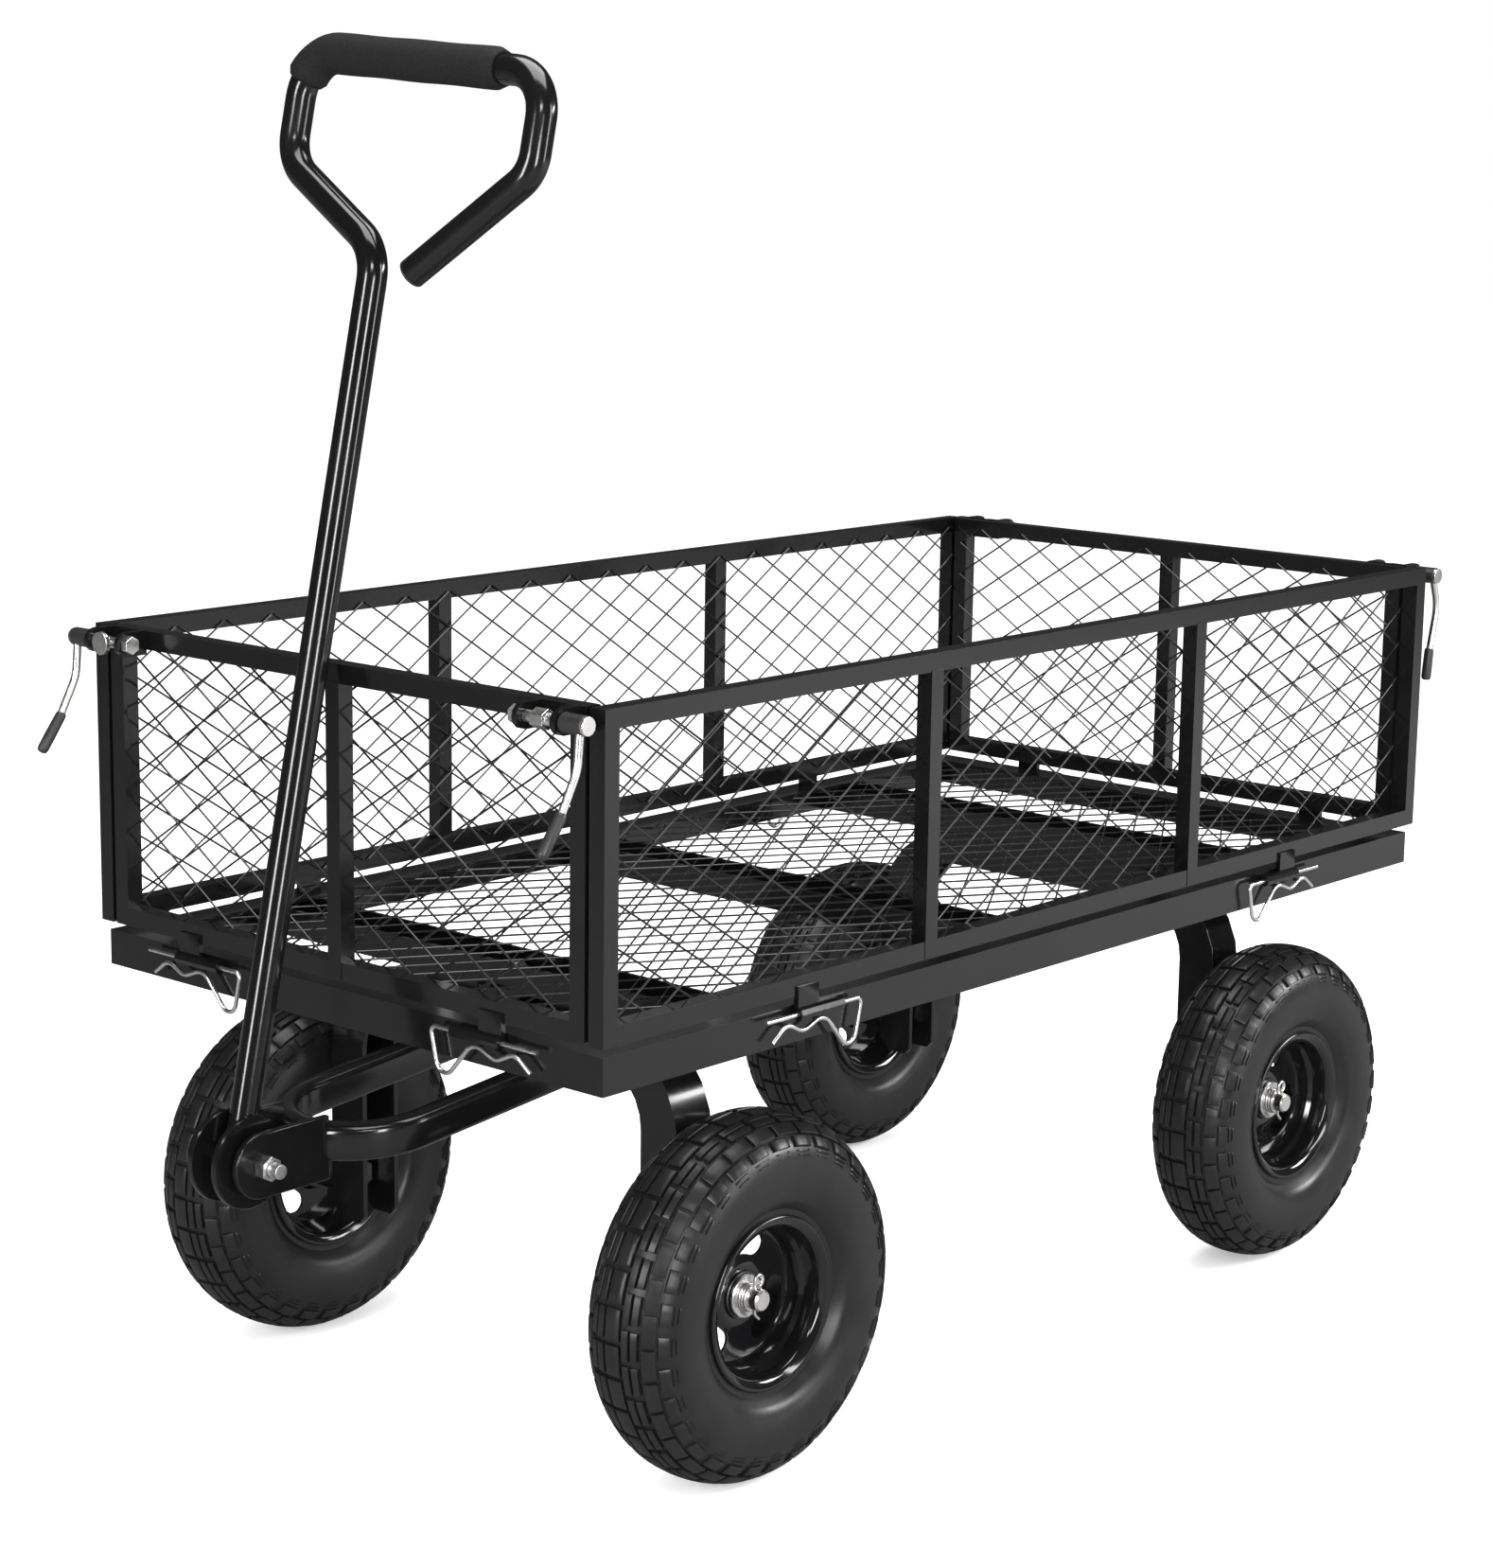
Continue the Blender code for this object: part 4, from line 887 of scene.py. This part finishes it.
def makePad(sign, name):
    # Short block between the bow's arm and the arch above it.
    shape = bowShape
    rear = steerAxis.y + shape["archWidth"] / 2
    nose = pivot.y + shape["toPivot"] - shape["radius"]
    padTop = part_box("front_axle_arch")[1].z - shape["archFlange"] - shape["archGap"]
    padBase = pivot.z - shape["drop"] + shape["height"] + shape["slope"] * (rear - shape["archWidth"] - nose)
    padBase -= shape["padSink"]
    middle = Vector((sign * shape["radius"], rear - shape["archWidth"] / 2, (padBase + padTop) / 2))
    size = (shape["width"], shape["archWidth"], padTop - padBase)
    bm = bmesh.new()
    bmesh.ops.create_cube(bm, size=1, matrix=Matrix.Translation(middle) @ Matrix.Diagonal((*size, 1)))
    pad = addPiece(f"bowPad_{name}", bm, powderCoat, bodyOf("steering_bow"))
    easeEdges(pad, shape["padEase"])


def makeBow():
    bm = bmesh.new()
    bowBar(bm)
    addPiece("bowBar", bm, powderCoat, bodyOf("steering_bow"), ("steering_bow",), 40)
    for sign, name in ((1, "right"), (-1, "left")):
        makeEar(sign, name)
        makePad(sign, name)


makeBow()
boltLook = {"boltEase": 0.0005, "latchEase": 0.0006}
for node in ("kingpin_bolt", "kingpin_nut", "pivot_bolt", "pivot_nut"):
    softenedCopy(node, boltLook["boltEase"], zincPlate)
for corner in corners:
    softenedCopy(f"latch_bolt_{corner}", boltLook["latchEase"], zincPlate)
print("steering bow bent")


# ---- handle

# Each bend: across from the shaft, up from the end of its straight part, bend radius
handleShape = {
    "tube": 0.010, "wall": 0.0015, "shaftStart": 0.0085, "shaft": 0.596, "railClearance": 0.006,
    "panelTube": 0.0133, "cheek": 0.031, "cheekInner": 0.0095, "cheekOuter": 0.014, "cheekBore": 0.0053,
    "cheekEase": 0.0008,
    "bends": [(0.0, 0.0, 0.035), (-0.0955, 0.056, 0.032), (-0.0955, 0.1295, 0.030), (0.092, 0.1176, 0.0),
              (0.131, 0.115, 0.030), (0.131, 0.0525, 0.024), (0.038, -0.013, 0.0)],
}
gripShape = {"radius": 0.0135, "bore": 0.0102, "wave": 0.0002, "taper": 0.0022, "taperShare": 0.03,
             "step": 0.006}
# The plug: along the tube from its end, and radius
plugShape = [(-0.010, 0.0079), (0.0003, 0.0079), (0.0004, 0.0100), (0.0018, 0.0100), (0.0025, 0.0088)]


def handleLean():
    # The shaft leans back until it stands just off the front panel's top rail.
    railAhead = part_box("panel_mesh_front")[0].y - handleShape["panelTube"] - pivot.y
    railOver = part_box("panel_frame_right")[1].z - pivot.z
    clear = asin((handleShape["tube"] + handleShape["railClearance"]) / hypot(railAhead, railOver))
    return atan2(railAhead, railOver) - clear


def handlePath(steps):
    shaft = handleShape["shaft"]
    outline = [(0.0, handleShape["shaftStart"], 0.0)]
    outline += [(across, shaft + along, radius) for across, along, radius in handleShape["bends"]]
    lean = handleLean()
    up = Vector((0, sin(lean), cos(lean)))
    flat, starts = roundedPath(outline, steps)
    path = [pivot + Vector((across, 0, 0)) + up * along for across, along in flat]
    return path, starts, Vector((1, 0, 0)).cross(up)


def makeHandle():
    shape = handleShape
    path, starts, side = handlePath(12)
    bm = bmesh.new()
    outer = sweepTube(bm, path, side, shape["tube"], 32, False)
    inner = sweepTube(bm, path, side, shape["tube"] - shape["wall"], 32, False)
    joinRings(bm, [outer[0], inner[0]], False)
    joinRings(bm, [outer[-1], inner[-1]], False)
    addPiece("handleLoop", bm, powderCoat, bodyOf("handle_tube"), ("handle_tube",), 50)
    for sign, name in ((1, "right"), (-1, "left")):
        bm = bmesh.new()
        disc = easedRing(shape["cheekInner"], shape["cheekOuter"], shape["cheekBore"], shape["cheek"],
                         shape["cheekEase"])
        turnOutline(bm, disc, Vector((0, pivot.y, pivot.z)), sign, 72)
        addPiece(f"footCheek_{name}", bm, powderCoat, bodyOf("handle_tube"))
    makeGrip(path, starts, side)
    end, outward = path[-1], (path[-1] - path[-2]).normalized()
    plugPath = [end + outward * along for along, _ in plugShape]
    bm = bmesh.new()
    sweepTube(bm, plugPath, side, [radius for _, radius in plugShape], 32)
    addPiece("endPlug", bm, endPlastic, bodyOf("handle_end_plug"), ("handle_end_plug",), 40)


def makeGrip(path, starts, side):
    # Foam sleeve over the bend and the top of the loop, a little wavy and drawn in at both ends.
    shape = gripShape
    first, last = starts[3] + 3, starts[4]
    fine = [path[first]]
    for near, far in zip(path[first:last], path[first + 1:last + 1]):
        parts = max(1, int((far - near).length / shape["step"]))
        fine += [near.lerp(far, (k + 1) / parts) for k in range(parts)]
    total = len(fine) - 1
    radii = []
    for k in range(total + 1):
        share = k / total
        ends = max(0.0, 1 - min(share, 1 - share) / shape["taperShare"])
        radii.append(shape["radius"] + shape["wave"] * cos(share * 20) - shape["taper"] * ends ** 2.5)
    bm = bmesh.new()
    outer = sweepTube(bm, fine, side, radii, 40, False)
    inner = sweepTube(bm, fine, side, shape["bore"], 40, False)
    joinRings(bm, [outer[0], inner[0]], False)
    joinRings(bm, [outer[-1], inner[-1]], False)
    addPiece("foamSleeve", bm, foamGrip, bodyOf("handle_grip"), ("handle_grip",), 60)


makeHandle()
print("handle bent")


# ---- hairpins and latch levers

pinShape = {
    "wire": 0.0016, "loopInset": 0.9,
    "outline": [(0.097, 0.0, 0.0), (0.0, 0.0, 0.004), (0.009, -0.0385, 0.008), (0.039, -0.0045, 0.012),
                (0.060, -0.0125, 0.012), (0.077, -0.0045, 0.010), (0.091, -0.015, 0.0)],
}


def makeHairpins():
    flat = roundedPath(pinShape["outline"], 8)[0]
    for side, axis in sides.items():
        for end, direction in (("a", 1), ("b", -1)):
            node = f"hairpin_{side}_{end}"
            low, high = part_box(node)
            u = 1 if axis == "Y" else 0
            loop = (low[u] if direction > 0 else high[u]) + direction * pinShape["wire"] * pinShape["loopInset"]
            out = (low[1 - u] + high[1 - u]) / 2
            top = high.z - pinShape["wire"]
            path = []
            for along, height in flat:
                spot = Vector((0, 0, top + height))
                spot[u], spot[1 - u] = loop + direction * along, out
                path.append(spot)
            across = Vector((0, 0, 0))
            across[1 - u] = 1.0
            bm = bmesh.new()
            sweepTube(bm, path, across, pinShape["wire"], 12)
            addPiece(f"hairpinWire_{side}_{end}", bm, zincPlate, bodyOf(node), (node,), 60)


leverShape = {
    "rod": 0.0028, "hub": 0.0065, "bore": 0.0043, "ease": 0.0008,
    "cap": [(-0.10, 0.0030), (-0.07, 0.0036), (0.0, 0.0038), (0.5, 0.004), (0.88, 0.004), (0.97, 0.0034),
            (1.0, 0.0018)],
    "front": [(0.0020, -0.0050, 0.0), (0.0040, -0.0270, 0.030), (0.0185, -0.0541, 0.0), (0.0353, -0.0771, 0.0)],
    "rear": [(0.0020, -0.0050, 0.0), (0.0100, -0.0260, 0.030), (0.0010, -0.0630, 0.0), (-0.0019, -0.0866, 0.0)],
}


def makeLever(corner):
    right, back = corners[corner]
    node = f"latch_lever_{corner}"
    spin = Vector(joints[f"lever_{corner}_swing"]["pos_m"])
    low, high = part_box(node)
    outline = leverShape["front" if back < 0 else "rear"]
    path = [spin + Vector((0, back * out, height)) for out, height in roundedPath(outline, 10)[0]]
    across = Vector((1, 0, 0))
    bm = bmesh.new()
    sweepTube(bm, path[:-1], across, leverShape["rod"], 20)
    addPiece(f"leverRod_{corner}", bm, zincPlate, bodyOf(node), (node,), 40)
    near, far = (low.x, high.x) if right > 0 else (-high.x, -low.x)
    bm = bmesh.new()
    eye = easedRing(near, far, leverShape["bore"], leverShape["hub"], leverShape["ease"])
    turnOutline(bm, eye, Vector((0, spin.y, spin.z)), right, 40)
    addPiece(f"leverEye_{corner}", bm, leverCap, bodyOf(node), (), 40)
    start, end = path[-2], path[-1]
    tipPath = [start + (end - start) * share for share, _ in leverShape["cap"]]
    bm = bmesh.new()
    sweepTube(bm, tipPath, across, [radius for _, radius in leverShape["cap"]], 24)
    addPiece(f"leverCap_{corner}", bm, leverCap, bodyOf(node), (), 50)


makeHairpins()
for corner in corners:
    makeLever(corner)
print("pins and levers bent")


# ---- floor, light and camera

studio = {
    "cameraPlace": (1.6361, -1.8941, 0.9009), "yaw": 41.242, "pitch": 11.153, "roll": 0.832, "lens": 77.5,
    "floorColour": (0.93, 0.93, 0.93), "floorShade": (0.91605, 0.91605, 0.91605), "floorRoughness": 0.75,
    "skyTop": (1.0, 1.0, 1.0), "skyStrength": 1.0,
    "reflectedSky": 0.05, "floorGlow": 0.30, "floorInGloss": 0.17,
}
# Soft boxes: place, what they face, width, height, power
softBoxes = {
    "overhead": ((0.1, -0.1, 2.4), (0, 0, 0.3), 1.6, 1.6, 58),
    "rightBank": ((2.6, 1.0, 1.1), (0, 0.1, 0.4), 0.30, 1.8, 26),
    "rightFloor": ((2.2, 2.2, 1.5), (2.2, 2.2, 0), 1.4, 1.4, 170),
    "rightStrip": ((2.35, -1.5, 0.9), (0, -0.45, 0.55), 0.42, 1.2, 40),
    "frontStrip": ((0.05, -3.0, 1.1), (0, -0.45, 0.55), 0.50, 1.4, 56),
    "lowKicker": ((1.9, -2.3, 2.4), (0.1, -0.2, 0.2), 0.8, 0.35, 18),
}


def makeStudio():
    bm = bmesh.new()
    bmesh.ops.create_grid(bm, x_segments=1, y_segments=1, size=14)
    mesh = bpy.data.meshes.new("studioFloor")
    bm.to_mesh(mesh)
    bm.free()
    floor = bpy.data.objects.new("studioFloor", mesh)
    bpy.context.scene.collection.objects.link(floor)
    material, tree, shader = startMaterial("floorPaper")
    grain = useGroup(tree, fineGrain, Coarse=2.0, Fine=60.0, Mix=0.5)
    mixColours(tree, grain.outputs["Tone"], studio["floorShade"], studio["floorColour"], shader)
    shader.inputs["Roughness"].default_value = studio["floorRoughness"]
    # Paper lit from below as well, so that it stays white; gloss sees a greyer paper without that glow.
    rays = tree.nodes.new("ShaderNodeLightPath")
    paper = shader.inputs["Base Color"].links[0].from_socket
    greyer = addNode(tree, "ShaderNodeMix", data_type="RGBA", blend_type="MULTIPLY")
    greyer.inputs["B"].default_value = (*[studio["floorInGloss"]] * 3, 1)
    tree.links.new(rays.outputs["Is Glossy Ray"], greyer.inputs["Factor"])
    tree.links.new(paper, greyer.inputs["A"])
    tree.links.new(greyer.outputs["Result"], shader.inputs["Base Color"])
    glow = addNode(tree, "ShaderNodeMapRange")
    glow.inputs["To Min"].default_value = studio["floorGlow"]
    glow.inputs["To Max"].default_value = 0.0
    tree.links.new(rays.outputs["Is Glossy Ray"], glow.inputs["Value"])
    tree.links.new(glow.outputs["Result"], shader.inputs["Emission Strength"])
    shader.inputs["Emission Color"].default_value = (1, 1, 1, 1)
    mesh.materials.append(material)
    makeSky()


def makeSky():
    # White to the lens and as fill light, but mostly dark in reflections, so that gloss black stays black.
    world = bpy.data.worlds.new("studioSky")
    world.use_nodes = True
    tree = world.node_tree
    sky = tree.nodes["Background"]
    rays = tree.nodes.new("ShaderNodeLightPath")
    strength = addNode(tree, "ShaderNodeMapRange")
    strength.inputs["To Min"].default_value = studio["skyStrength"]
    strength.inputs["To Max"].default_value = studio["reflectedSky"]
    tree.links.new(rays.outputs["Is Glossy Ray"], strength.inputs["Value"])
    tree.links.new(strength.outputs["Result"], sky.inputs["Strength"])
    sky.inputs["Color"].default_value = (*studio["skyTop"], 1)
    bpy.context.scene.world = world


def makeLamps():
    for name, (place, target, width, height, power) in softBoxes.items():
        lamp = bpy.data.lights.new(name, "AREA")
        lamp.shape = "RECTANGLE"
        lamp.size, lamp.size_y = width, height
        lamp.energy = power
        holder = bpy.data.objects.new(name, lamp)
        holder.location = place
        holder.rotation_euler = (Vector(target) - Vector(place)).to_track_quat("-Z", "Y").to_euler()
        bpy.context.scene.collection.objects.link(holder)


def makeCamera():
    lensData = bpy.data.cameras.new("studioCamera")
    lensData.lens = studio["lens"]
    lensData.sensor_width = 36
    camera = bpy.data.objects.new("studioCamera", lensData)
    yaw = Matrix.Rotation(radians(studio["yaw"]), 4, "Z")
    tilt = Matrix.Rotation(pi / 2 - radians(studio["pitch"]), 4, "X")
    roll = Matrix.Rotation(radians(studio["roll"]), 4, "Z")
    camera.matrix_world = Matrix.Translation(studio["cameraPlace"]) @ yaw @ tilt @ roll
    bpy.context.scene.collection.objects.link(camera)
    bpy.context.scene.camera = camera


makeStudio()
makeLamps()
makeCamera()
bpy.context.scene.view_settings.view_transform = "Standard"
print("studio lit")
